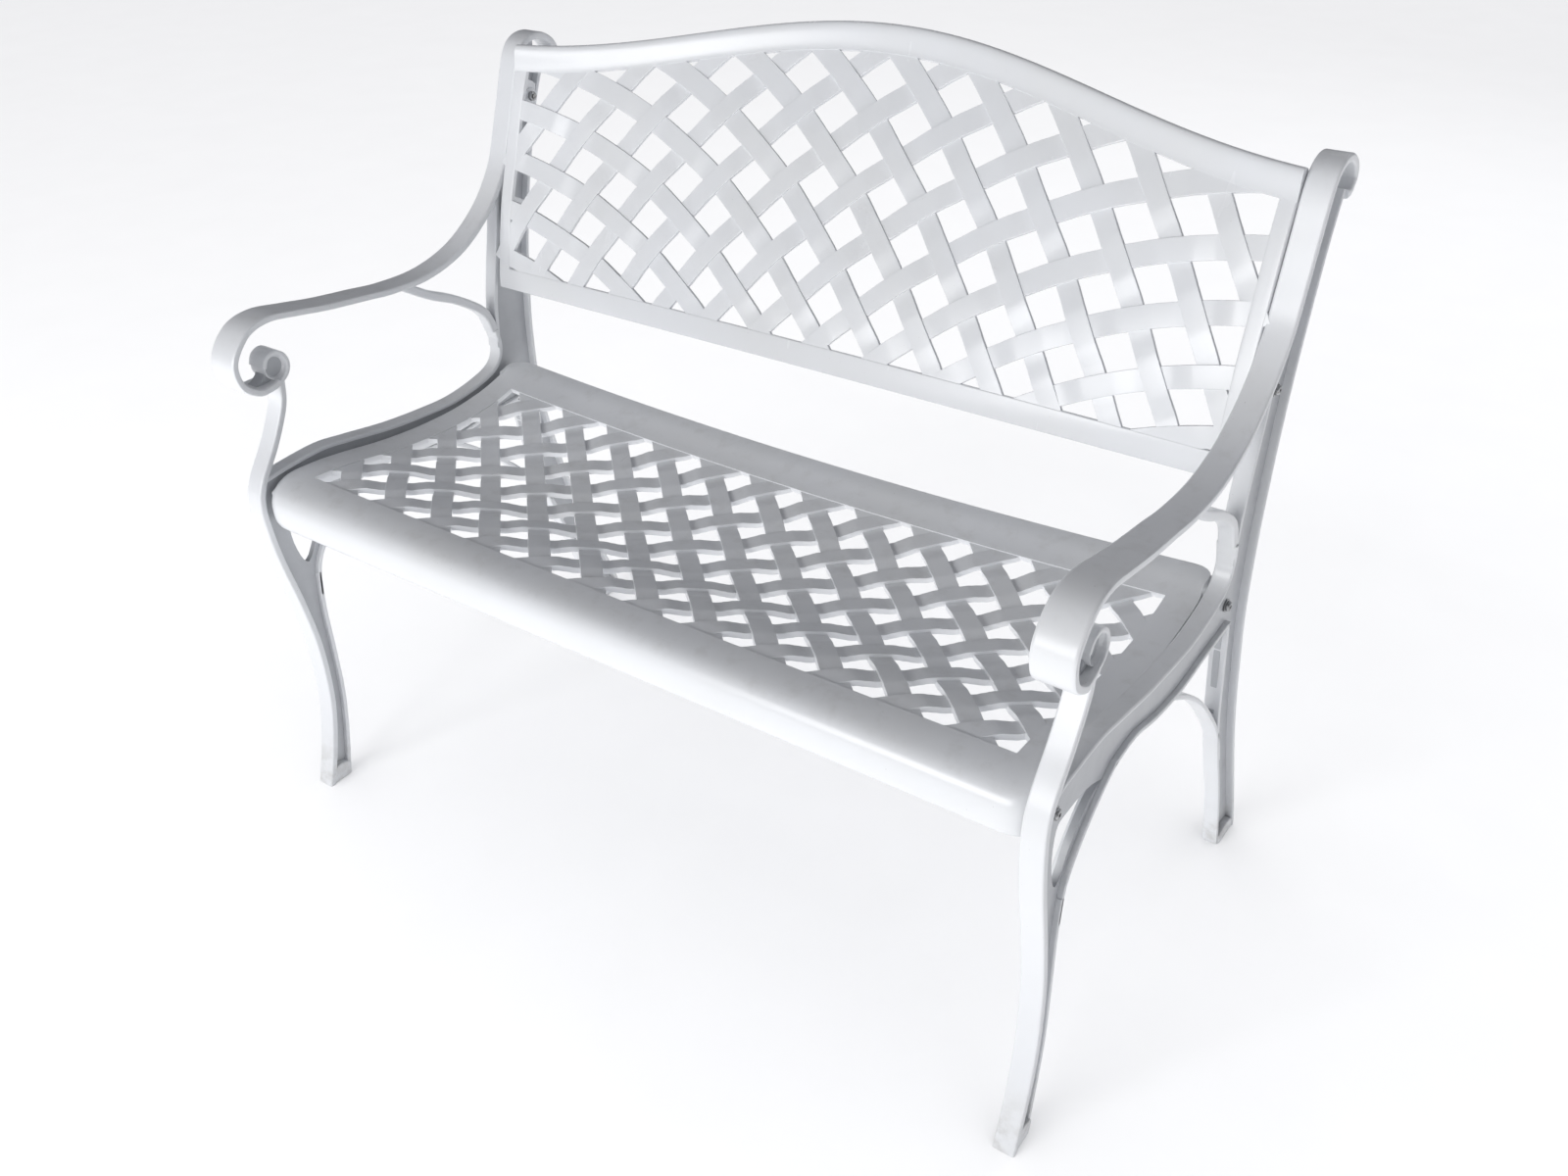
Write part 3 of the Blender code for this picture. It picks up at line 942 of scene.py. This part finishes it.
    def web(self, x: float) -> bpy.types.Object:
        """The thin wall with its two open windows.

        Args:
            x: middle plane of the casting, in millimetres.

        Returns:
            The new object.
        """
        wall = plate(self.web_outline(), x - self.web_thick / 2, x + self.web_thick / 2)
        for window in (self.front_window, self.rear_window):
            closed = curve_through([*window, window[0]], 4)[:-1]
            cutter = plate(closed, x - 2 * self.web_thick, x + 2 * self.web_thick)
            carve(wall, cutter)
        soften_edges(wall, 1.4, 3)
        return wall

    def strips(self) -> list[Strip]:
        """All strips of the casting.

        Returns:
            The strips, not yet modelled.
        """
        wide = [(0.0, self.leg_half), (1.0, self.leg_half)]
        narrow = [(0.0, self.rim_half), (1.0, self.rim_half)]
        half_strap = self.strap_thick / 2
        return [
            Strip(self.strap_face, self.strap_thick, self.strap_halves, half_strap, 2.4, 3, 6),
            Strip(self.curl, self.curl_thick, self.curl_halves, corner=1.6, corner_steps=3, per_span=6),
            Strip(self.leg_face, self.strap_thick, wide, half_strap, 2.2, 3, 6),
            Strip(self.leg_back, self.rim_thick, narrow),
            Strip(self.rail_top, self.rim_thick, self.rail_halves, corner=2.8, corner_steps=3),
            Strip(self.brace_top, self.brace_thick, narrow, corner=3.0, corner_steps=3),
            Strip(self.rail_low, self.rim_thick, narrow, corner=2.2),
            Strip(self.gusset, self.rim_thick, narrow),
            Strip(self.arch, self.rim_thick, narrow, corner=2.2),
            Strip(self.post_front, self.rim_thick, narrow),
            Strip(self.rear_leg_front, self.rim_thick, narrow),
            Strip(self.post_back, self.rim_thick, wide, corner=2.2),
        ]

    def disc(self, x: float) -> bpy.types.Object:
        """Dished button at the heart of the scroll.

        Args:
            x: middle plane of the casting, in millimetres.

        Returns:
            The new object.
        """
        ends = (x - self.scroll_half) * MM, (x + self.scroll_half) * MM
        made = rod(*ends, self.scroll_radius * MM, place(x, *self.scroll), 56)
        for way in (-1.0, 1.0):
            pick_faces(made, lambda face: face.normal.x * way > FACING)
            for inset, depth in self.bowl:
                bpy.ops.mesh.inset(thickness=inset * MM)
                bpy.ops.transform.translate(value=(-way * depth * MM, 0.0, 0.0))
            leave()
        soften_edges(made, 1.6, 3)
        return made

    def feet(self, x: float) -> list[bpy.types.Object]:
        """Solid pads at the bottom of both legs.

        Args:
            x: middle plane of the casting, in millimetres.

        Returns:
            The new objects.
        """
        half = self.leg_half - 1.0
        pads = [plate(outline, x - half, x + half) for outline in (self.front_foot, self.rear_foot)]
        for pad in pads:
            soften_edges(pad, 2.0, 3, 20.0)
        return pads

    def build(self) -> dict[Side, bpy.types.Object]:
        """Models the right casting and mirrors it for the left.

        Returns:
            Both castings.
        """
        low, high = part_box("right_side_frame")
        x = (low.x + high.x) / 2 / MM
        heart = plate(self.comma, x - self.scroll_web, x + self.scroll_web)
        soften_edges(heart, 1.2, 2)
        # The thin wall and the scroll's heart are marked to take painted shade between the rims.
        hollows = [recessed(piece) for piece in (self.web(x), heart)]
        parts = [*hollows, self.disc(x), *self.feet(x), *[strip.build(x) for strip in self.strips()]]
        right = stood_on_floor(joined(parts, "right_side_casting"))
        pick_up(right)
        bpy.ops.object.duplicate()
        left = named(bpy.context.object, "left_side_casting")
        edit_all()
        bpy.ops.transform.resize(value=(-1.0, 1.0, 1.0), center_override=(0.0, 0.0, 0.0))
        bpy.ops.mesh.normals_make_consistent(inside=False)
        leave()
        return {Side.LEFT: smoothed(left), Side.RIGHT: smoothed(right)}

    def make(self) -> None:
        """Models, dresses and hands over both castings."""
        for side, piece in self.build().items():
            dress(piece, self.finish)
            hand_over(piece, [f"{side.word}_side_frame"])


# ---------------------------------------------------------------- weave


@dataclass
class Band:
    """One cast band of a weave, laid along a path on a curved surface."""

    length: float
    width: float
    at: Callable[[float, float], Vector]
    step: float = 4.0

    def build(self) -> bpy.types.Object:
        """Models the band's middle surface.

        Returns:
            The new object.
        """
        steps = max(6, round(self.length / self.step))
        return draped_grid(steps, 2, lambda s, w: self.at(s * self.length, (w - 0.5) * self.width))


def thickened(piece: bpy.types.Object, thickness: float, edge: float, segments: int = 2) -> None:
    """Gives a surface its casting thickness and rounded edges.

    Args:
        piece: the open mesh.
        thickness: in millimetres.
        edge: radius of its edges, in millimetres.
        segments: steps in the rounding.
    """
    use(piece, "SOLIDIFY", thickness=thickness * MM, offset=0.0, use_even_offset=True)
    face_outwards(piece)
    soften_edges(piece, edge, segments, 55.0)


@dataclass
class WovenSeat:
    """The dished seat: rolled front lip, plain border and straight diagonal bands."""

    finish: bpy.types.Material
    field_depths: Point = (54.0, 376.0)
    field_half: float = 452.0
    pitch: float = 74.0
    row_depth: float = 103.0
    band_width: float = 23.0
    band_thick: float = 6.5
    border_thick: float = 6.5
    rise: float = 1.6
    flatness: float = 1.9
    sunk: float = 1.2
    dish: float = 16.0
    run_under: float = 13.0
    skirt: float = 26.0
    corner: float = 24.0
    section: Outline = drawn(
        (19, 392), (11, 396), (8, 408), (10, 424), (20, 435), (45, 441), (80, 440), (120, 435),
        (180, 425), (240, 419), (300, 418), (350, 423), (385, 431), (410, 439), (427, 442),
    )

    def __post_init__(self) -> None:
        """Reads the seat's width from the frame."""
        self.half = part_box("seat_panel")[1].x / MM - 0.4
        self.curve = curve_through(self.section, 4)
        self.heights = [p for p in self.curve if p[0] > 20]

    def drop(self, x: float, depth: float) -> float:
        """How far the dish lies below its ends.

        Args:
            x: place across, in millimetres.
            depth: place from front to back, in millimetres.

        Returns:
            The drop in millimetres.
        """
        return self.dish * (1.0 - (x / self.half) ** 2) * min(max((depth - 20.0) / 150.0, 0.0), 1.0)

    def top(self, x: float, depth: float) -> float:
        """Height of the middle of the casting at a place, in millimetres."""
        return between(self.heights, depth) - self.drop(x, depth)

    def border(self) -> bpy.types.Object:
        """Plain border with the rolled lip, around an open field.

        Returns:
            The new object.
        """
        front, back = self.field_depths
        curve = [p for p in self.curve if not (front - 4 < p[0] < front + 4 or back - 4 < p[0] < back + 4)]
        curve += [(front, between(self.heights, front)), (back, between(self.heights, back))]
        low = [p for p in self.curve if p[0] <= 20 and p[1] < 435.5]
        rest = sorted(p for p in curve if p not in low)
        rows = [*low, *rest]
        inner = [self.field_half * (2 * k / 48 - 1) for k in range(49)]
        edge = self.half - self.field_half
        side = [self.field_half + edge * share for share in (0.25, 0.5, 0.72, 0.86, 0.95, 1.0)]
        columns = [*[-x for x in reversed(side)], *inner, *side]

        def at(u: float, v: float) -> Vector:
            """Place of one grid point."""
            x = columns[round(u * (len(columns) - 1))]
            depth, height = rows[round(v * (len(rows) - 1))]
            beyond = max(0.0, abs(x) - (self.half - self.corner)) / self.corner
            pulled_in = self.corner * (1.0 - math.sqrt(max(0.0, 1.0 - beyond * beyond)))
            front_share = 1.0 - eased((depth - 8.0) / 50.0)
            back_share = eased((depth - self.field_depths[1] - 4.0) / 45.0)
            moved = depth + pulled_in * (0.6 * front_share - back_share)
            return place(x, moved, height - self.drop(x, depth))

        made = draped_grid(len(columns) - 1, len(rows) - 1, at)
        middle = [place(0, front, 0).y, place(0, back, 0).y]
        delete_faces(
            made, lambda c: abs(c.x) < self.field_half * MM and middle[0] < c.y < middle[1] and c.z > 0.39,
        )
        thickened(made, self.border_thick, 1.6, 3)
        return made

    def band_at(self, fan: Fan, offset: float, start: float) -> Callable[[float, float], Vector]:
        """Where the points of one band lie.

        Args:
            fan: which way the band leans.
            offset: where it crosses the first row, in millimetres.
            start: travel from front to back where the band begins.

        Returns:
            A function of distance along the band and distance across it.
        """
        root = math.sqrt(0.5)
        front, back = self.field_depths

        def at(along: float, across: float) -> Vector:
            """Place of one point of the band."""
            travel = start + along * root
            x = offset + fan.value * travel + across * root
            depth = self.row_depth + travel - fan.value * across * root
            inside = min(depth - front, back - depth, self.field_half - abs(x))
            wave = -fan.value * math.cos(math.pi * travel / (self.pitch / 2))
            shaped = math.copysign(eased(abs(wave) * self.flatness), wave)
            lift = self.rise * shaped * eased(inside / 20.0)
            return place(x, depth, self.top(x, depth) - self.sunk + lift)

        return at

    def bands(self) -> list[bpy.types.Object]:
        """All bands of both families.

        Returns:
            The new objects.
        """
        made = []
        front, back = (self.field_depths[0] - self.run_under, self.field_depths[1] + self.run_under)
        reach = self.field_half + self.run_under
        first, last = front - self.row_depth, back - self.row_depth
        for fan in Fan:
            for k in range(-12, 13):
                offset = k * self.pitch
                ends = sorted((fan.value * (-reach - offset), fan.value * (reach - offset)))
                low, high = max(first, ends[0]), min(last, ends[1])
                if high - low < SHORTEST * self.run_under:
                    continue
                at = self.band_at(fan, offset, low)
                made.append(Band((high - low) * math.sqrt(2.0), self.band_width, at).build())
        return made

    def skirts(self) -> list[bpy.types.Object]:
        """Side flanges that take the bolts, and the bosses.

        Returns:
            The new objects.
        """
        top = [(y, z - 1.0) for y, z in self.curve if 16 < y < 424 and z > 410]
        outline = [*top, *[(y, z - self.skirt) for y, z in reversed(top)]]
        made = []
        for side in Side:
            ends = sorted((side.value * self.half, side.value * (self.half - FLANGE_THICK)))
            wall = plate(outline, *ends)
            soften_edges(wall, 1.2, 2)
            made.append(wall)
            for spot in ("seat_front", "seat_rear"):
                made.append(lug(f"{side.word}_{spot}", side, self.half))
        return made

    def make(self) -> None:
        """Models, dresses and hands over the seat."""
        bands = joined(self.bands(), "bands")
        thickened(bands, self.band_thick, 0.7, 2)
        piece = smoothed(joined([self.border(), bands, *self.skirts()], "woven_seat_casting"))
        dress(piece, self.finish)
        hand_over(piece, ["seat_panel"])


def lug(spot: str, side: Side, half: float) -> bpy.types.Object:
    """Round boss inside a flange that a nut pulls against.

    Args:
        spot: side and place of the bolt.
        side: end of the bench.
        half: outer face of the flange, in millimetres.

    Returns:
        The new object.
    """
    low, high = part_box(f"{spot}_washer")
    inner, outer = (side.value * (half - inside) * MM for inside in LUG_DEPTHS)
    made = rod(inner, outer, LUG_RADIUS * MM, (low + high) / 2, 32)
    soften_edges(made, 1.2, 3)
    return made


@dataclass
class WovenBack:
    """The bowed back: rounded camel-back rail, borders and two fans of arcs."""

    finish: bpy.types.Material
    bottom: float = 551.0
    end_top: float = 832.0
    bow: float = 70.0
    rail: float = 26.0
    border: float = 17.0
    flange: float = 34.0
    rib: float = 11.0
    arc_centre: Point = (592.0, -4.0)
    arc_start: float = 48.0
    arc_step: float = 56.0
    band_width: float = 22.0
    band_thick: float = 5.0
    border_thick: float = 6.0
    rise: float = 0.9
    fade: float = 22.0
    tab_half: float = 11.0
    tab_slope: float = 14.0
    rings: tuple[int, int] = (4, 28)
    flatness: float = 1.9
    run_under: float = 15.0
    tube: float = 12.0
    rail_section: Outline = drawn(
        (-3.1, -31), (-3.4, -27.5), (-4.3, -23), (-5.9, -17), (-7.4, -11), (-7.9, -6), (-6.8, -2.2),
        (-3.8, -0.4), (0, 0), (3.8, -0.4),
        (6.8, -2.2), (7.9, -6), (7.4, -11), (5.9, -17), (4.3, -23), (3.4, -27.5), (3.1, -31),
    )
    section: Outline = drawn(
        (540, 413), (560, 413), (590, 418), (651, 431), (715, 452), (774, 471), (828, 493), (900, 519),
    )

    def __post_init__(self) -> None:
        """Reads the back's width and height from the frame."""
        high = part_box("back_panel")[1]
        self.half = high.x / MM - 0.4
        self.crest = high.z / MM
        self.smooth_section = curve_through(self.section, 5)

    def top(self, x: float) -> float:
        """Height of the crest line at a place across, in millimetres."""
        return self.end_top + (self.crest - self.end_top) * (0.5 + 0.5 * math.cos(math.pi * x / self.half))

    def depth(self, x: float, height: float) -> float:
        """Depth of the middle of the casting.

        Args:
            x: place across, in millimetres.
            height: height above the floor, in millimetres.

        Returns:
            The depth in millimetres.
        """
        rise = max(0.0, (height - self.bottom) / (self.crest - self.bottom))
        return between(self.smooth_section, height) + self.bow * rise * (1.0 - (x / self.half) ** 2)

    def on(self, x: float, height: float, lift: float = 0.0) -> Vector:
        """Point on the bowed surface.

        Args:
            x: place across, in millimetres.
            height: height above the floor, in millimetres.
            lift: distance in front of the surface, in millimetres.

        Returns:
            The position in metres.
        """
        near = 4.0
        tilt = (self.depth(x, height + near) - self.depth(x, height - near)) / (2 * near)
        swing = (self.depth(x + near, height) - self.depth(x - near, height)) / (2 * near)
        normal = Vector((swing, -1.0, tilt)).normalized() * lift
        return place(x + normal.x, self.depth(x, height) + normal.y, height + normal.z)

    def inside(self, x: float, height: float) -> float:
        """Distance inside the open field, in millimetres, below 0 outside it."""
        return min(self.half - self.border - abs(x), height - self.bottom - self.rail,
                   self.top(x) - self.rail - height)

    def frame_sheet(self) -> bpy.types.Object:
        """Border around the field.

        Returns:
            The new object.
        """
        field_half = self.half - self.border
        inner = [field_half * (2 * k / 48 - 1) for k in range(49)]
        side = [field_half + self.border * share for share in (0.33, 0.66, 1.0)]
        columns = [*[-x for x in reversed(side)], *inner, *side]
        rows = 24

        def at(u: float, v: float) -> Vector:
            """Place of one grid point."""
            x = columns[round(u * (len(columns) - 1))]
            row = round(v * (rows + 8))
            low, high = self.bottom + self.rail, self.top(x) - self.rail
            if row < 4:
                height = self.bottom + self.rail * row / 4
            elif row <= rows + 4:
                height = low + (high - low) * (row - 4) / rows
            else:
                height = high + (self.rail - self.tube) * (row - rows - 4) / 4
            return self.on(x, height)

        made = draped_grid(len(columns) - 1, rows + 8, at)
        delete_faces(made, lambda c: self.inside(c.x / MM, c.z / MM) > 0.5)
        thickened(made, self.border_thick, 1.6, 3)
        return made

    def top_rail(self) -> bpy.types.Object:
        """Rounded rail along the crest, pulled out ring by ring.

        Returns:
            The new object.
        """
        stations = 64
        path, leans = [], []
        for step in range(stations + 1):
            x = self.half * (2 * step / stations - 1)
            height = self.top(x)
            path.append(place(x, self.depth(x, height), height))
            leans.append(-math.atan2(self.depth(x, height) - self.depth(x, height - 24.0), 24.0))
        section = curve_through([*self.rail_section, self.rail_section[0]], 3)[:-1]
        put_down_all()
        bpy.ops.mesh.primitive_circle_add(vertices=len(section), radius=1.0, fill_type="NGON")
        made = bpy.context.object
        for vertex, (back, up) in zip(made.data.vertices, section):
            vertex.co = Vector((0.0, back, up)) * MM
        edit_all()
        turn(leans[0], "X", Vector())
        bpy.ops.transform.translate(value=path[0])
        for i in range(1, len(path)):
            pull(path[i] - path[i - 1])
            turn(leans[i] - leans[i - 1], "X", path[i])
        leave()
        face_outwards(made)
        return made

    def band_at(self, fan: Fan, ring: int, start: float) -> Callable[[float, float], Vector]:
        """Where the points of one arc lie.

        Args:
            fan: which way the arc leans.
            ring: number of the arc in its fan.
            start: angle where the band begins.

        Returns:
            A function of distance along the arc and distance across it.
        """
        away, low = self.arc_centre
        radius = self.arc_start + ring * self.arc_step

        def at(along: float, across: float) -> Vector:
            """Place of one point of the band."""
            angle = start + along / radius
            x = fan.value * (away - (radius + across) * math.cos(angle))
            height = low + (radius + across) * math.sin(angle)
            middle_x = fan.value * (away - radius * math.cos(angle))
            middle = low + radius * math.sin(angle)
            other = math.hypot(middle_x + fan.value * away, middle - low)
            count = (other - self.arc_start) / self.arc_step + ring
            wave = fan.value * math.cos(math.pi * count)
            shaped = math.copysign(eased(abs(wave) * self.flatness), wave)
            lift = self.rise * shaped * eased(self.inside(x, height) / self.fade)
            return self.on(x, height, lift)

        return at

    def bands(self) -> list[bpy.types.Object]:
        """All arcs of both fans.

        Returns:
            The new objects.
        """
        made = []
        away, low = self.arc_centre
        fine = 0.002
        for fan in Fan:
            for ring in range(*self.rings):
                radius = self.arc_start + ring * self.arc_step
                runs: list[list[float]] = [[]]
                for step in range(round(math.pi / 2 / fine)):
                    angle = step * fine
                    x = fan.value * (away - radius * math.cos(angle))
                    if self.inside(x, low + radius * math.sin(angle)) > -self.run_under:
                        runs[-1].append(angle)
                    elif runs[-1]:
                        runs.append([])
                for run in runs:
                    if len(run) * fine * radius < SHORTEST * self.run_under:
                        continue
                    at = self.band_at(fan, ring, run[0])
                    made.append(Band((run[-1] - run[0]) * radius, self.band_width, at, 5.0).build())
        return made

    def flanges(self) -> list[bpy.types.Object]:
        """Side flanges behind the back, with their bosses.

        Returns:
            The new objects.
        """
        top = self.end_top - self.tube
        heights = [self.bottom + (top - self.bottom) * k / 60 for k in range(61)]
        made = []
        for side in Side:
            boxes = [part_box(f"{side.word}_{spot}_washer") for spot in ("back_lower", "back_upper")]
            middles = [(low.z + high.z) / 2 / MM for low, high in boxes]
            face, rear = [], []
            for z in heights:
                y = self.depth(self.half, z)
                near = min(abs(z - middle) for middle in middles)
                tab = 1.0 - eased((near - self.tab_half) / self.tab_slope)
                reach = self.rib + (self.flange - self.rib) * tab
                face.append((y, z))
                rear.append((y + reach, z))
            outline = [*face, *reversed(rear)]
            ends = sorted((side.value * self.half, side.value * (self.half - FLANGE_THICK)))
            wall = plate(outline, *ends)
            soften_edges(wall, 1.2, 2)
            made.append(wall)
            for spot in ("back_lower", "back_upper"):
                made.append(lug(f"{side.word}_{spot}", side, self.half))
        return made

    def make(self) -> None:
        """Models, dresses and hands over the back."""
        bands = joined(self.bands(), "bands")
        thickened(bands, self.band_thick, 0.7, 2)
        parts = [self.frame_sheet(), self.top_rail(), bands, *self.flanges()]
        piece = smoothed(joined(parts, "woven_back_casting"))
        dress(piece, self.finish)
        hand_over(piece, ["back_panel"])


# ---------------------------------------------------------------- fasteners


@dataclass
class Fastener:
    """A button-head bolt with its washer and nut, all along X."""

    finish: bpy.types.Material
    side: Side
    spot: str
    shank: float = 3.0
    head: float = 5.5
    head_height: float = 3.4
    dome: float = 2.2
    socket: float = 2.3
    socket_depth: float = 2.0
    washer_hole: float = 3.4
    nut_corners: float = 5.8
    nut_turned: float = 5.7
    nut_hole: float = 3.2

    def node(self, kind: str) -> str:
        """Name of one of the fastener's nodes."""
        return f"{self.side.word}_{self.spot}_{kind}"

    def turned(self, kind: str, x_from: float, x_to: float, radius: float, sides: int) -> bpy.types.Object:
        """Bar along X on the fastener's axis.

        Args:
            kind: which node gives the axis.
            x_from: one end, in metres.
            x_to: the other end, in metres.
            radius: in millimetres.
            sides: flats round it.

        Returns:
            The new object.
        """
        low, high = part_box(self.node(kind))
        return rod(x_from, x_to, radius * MM, (low + high) / 2, sides)

    def drilled(self, piece: bpy.types.Object, kind: str, radius: float, sides: int = 24) -> None:
        """Drills a piece right through.

        Args:
            piece: what is drilled.
            kind: which node gives the axis.
            radius: of the hole, in millimetres.
            sides: flats round the hole.
        """
        low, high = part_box(self.node(kind))
        carve(piece, self.turned(kind, low.x - 0.01, high.x + 0.01, radius, sides))

    def bolt(self) -> bpy.types.Object:
        """Domed head with a hexagon socket, and the shank.

        Returns:
            The new object.
        """
        low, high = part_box(self.node("bolt"))
        out = self.side.value
        outer, inner = (high.x, low.x) if out > 0 else (low.x, high.x)
        seat_face = outer - out * self.head_height * MM
        head = self.turned("bolt", seat_face, outer, self.head, 40)
        pick_faces(head, lambda face: face.normal.x * out > FACING)
        bpy.ops.mesh.bevel(offset=self.dome * MM, segments=6, profile=0.5)
        leave()
        floor = outer - out * self.socket_depth * MM
        carve(head, self.turned("bolt", floor, outer + out * 5 * MM, self.socket, 6))
        shank = self.turned("bolt", inner, seat_face + out * 0.5 * MM, self.shank, 24)
        soften_edges(shank, 0.5, 2)
        return joined([head, shank], f"button_bolt_{self.side.word}_{self.spot}")

    def washer(self) -> bpy.types.Object:
        """Flat washer with softened edges.

        Returns:
            The new object.
        """
        low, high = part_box(self.node("washer"))
        made = self.turned("washer", low.x, high.x, (high.y - low.y) / 2 / MM, 48)
        self.drilled(made, "washer", self.washer_hole)
        soften_edges(made, 0.3, 2)
        return named(made, f"flat_washer_{self.side.word}_{self.spot}")

    def nut(self) -> bpy.types.Object:
        """Hexagon nut with chamfered corners.

        Returns:
            The new object.
        """
        low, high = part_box(self.node("nut"))
        made = self.turned("nut", low.x, high.x, self.nut_corners, 6)
        rounding = self.turned("nut", low.x, high.x, self.nut_turned, 48)
        soften_edges(rounding, 0.9, 3)
        carve(made, rounding, "INTERSECT")
        self.drilled(made, "nut", self.nut_hole)
        soften_edges(made, 0.2, 1, 40.0)
        return named(made, f"hex_nut_{self.side.word}_{self.spot}")

    def make(self) -> None:
        """Models, dresses and hands over the set."""
        for kind, piece in (("bolt", self.bolt()), ("washer", self.washer()), ("nut", self.nut())):
            dress(smoothed(piece), self.finish)
            hand_over(piece, [self.node(kind)])


# ---------------------------------------------------------------- studio


@dataclass
class Studio:
    """Pale floor, soft lights and the camera."""

    paper: bpy.types.Material
    eye: Point = (860.0, -842.9)
    eye_height: float = 1235.0
    yaw: float = 36.049
    pitch: float = 33.647
    roll: float = -1.509
    lens: float = 33.55
    shift: Point = (0.0024, 0.0163)
    horizon: tuple[float, float, float] = (0.23, 0.24, 0.26)
    overhead: tuple[float, float, float] = (0.19, 0.19, 0.20)
    floor_power: float = 2.3

    def floor(self) -> None:
        """Lays the floor."""
        put_down_all()
        bpy.ops.mesh.primitive_plane_add(size=30.0)
        ground = named(bpy.context.object, "floor")
        dress(ground, self.paper)

    def lamp(
        self, name: str, spot: Vector, size: Point, power: float, colour: tuple[float, float, float],
    ) -> None:
        """Hangs a soft box aimed at the bench.

        Args:
            name: its name.
            spot: where it hangs, in metres.
            size: width and height, in metres.
            power: in watts.
            colour: colour of the light.
        """
        light = bpy.data.lights.new(name, "AREA")
        light.shape = "RECTANGLE"
        light.size, light.size_y = size
        light.energy = power
        light.color = colour
        lamp = bpy.data.objects.new(name, light)
        lamp.location = spot
        lamp.rotation_euler = (Vector((0.0, 0.0, 0.5)) - spot).to_track_quat("-Z", "Y").to_euler()
        bpy.context.scene.collection.objects.link(lamp)

    def sky(self) -> None:
        """Soft surroundings, paler toward the horizon than overhead."""
        world = bpy.data.worlds.new("studio_air")
        world.use_nodes = True
        tree = world.node_tree
        coordinates = tree.nodes.new("ShaderNodeTexCoord")
        split = tree.nodes.new("ShaderNodeSeparateXYZ")
        ramp = tree.nodes.new("ShaderNodeValToRGB")
        ramp.color_ramp.elements[0].position = 0.05
        ramp.color_ramp.elements[0].color = (*self.horizon, 1.0)
        ramp.color_ramp.elements[1].position = 0.75
        ramp.color_ramp.elements[1].color = (*self.overhead, 1.0)
        tree.links.new(coordinates.outputs["Generated"], split.inputs[0])
        tree.links.new(split.outputs["Z"], ramp.inputs[0])
        tree.links.new(ramp.outputs[0], tree.nodes["Background"].inputs["Color"])
        bpy.context.scene.world = world

    def lights(self) -> None:
        """Sets the lamps over the bench and the one that only the floor takes."""
        self.lamp("front_light", Vector((-0.6, -4.6, 1.75)), (3.0, 1.8), 128.0, (1.0, 1.0, 1.0))
        self.lamp("side_light", Vector((3.2, -1.4, 1.2)), (1.4, 1.4), 2.5, (0.93, 0.96, 1.0))
        self.lamp("back_light", Vector((0.8, 3.0, 2.2)), (2.4, 1.4), 12.0, (0.97, 0.98, 1.0))
        light = bpy.data.lights.new("floor_light", "SUN")
        light.energy = self.floor_power
        light.angle = math.radians(120.0)
        lamp = bpy.data.objects.new("floor_light", light)
        bpy.context.scene.collection.objects.link(lamp)
        takers = bpy.data.collections.new("lit_floor")
        takers.objects.link(bpy.data.objects["floor"])
        lamp.light_linking.receiver_collection = takers

    def camera(self) -> None:
        """Sets the camera."""
        data = bpy.data.cameras.new("camera")
        data.lens = self.lens
        data.sensor_width = 36.0
        data.shift_x, data.shift_y = self.shift
        camera = bpy.data.objects.new("camera", data)
        turned = (
            Matrix.Rotation(math.radians(self.yaw), 4, "Z")
            @ Matrix.Rotation(math.radians(90.0 - self.pitch), 4, "X")
            @ Matrix.Rotation(math.radians(self.roll), 4, "Z")
        )
        camera.matrix_world = Matrix.Translation(place(self.eye[0], self.eye[1], self.eye_height)) @ turned
        bpy.context.scene.collection.objects.link(camera)
        bpy.context.scene.camera = camera
        bpy.context.scene.view_settings.view_transform = "Standard"

    def make(self) -> None:
        """Sets up the whole studio."""
        self.floor()
        self.sky()
        self.lights()
        self.camera()


def main() -> None:
    """Builds and dresses the bench in order."""
    logging.basicConfig(level=logging.INFO, format="%(name)s %(message)s")
    Studio(FloorPaper().make()).make()
    SideCasting(PowderCoat("frame_powder_coat").make()).make()
    WovenSeat(PowderCoat("seat_powder_coat", roughness=0.29).make()).make()
    WovenBack(PowderCoat("back_powder_coat", roughness=0.26).make()).make()
    steel = ZincSteel("zinc_steel").make()
    for spot in ("seat_front", "seat_rear", "back_lower", "back_upper"):
        for side in Side:
            Fastener(steel, side, spot).make()


if __name__ == "__main__":
    main()
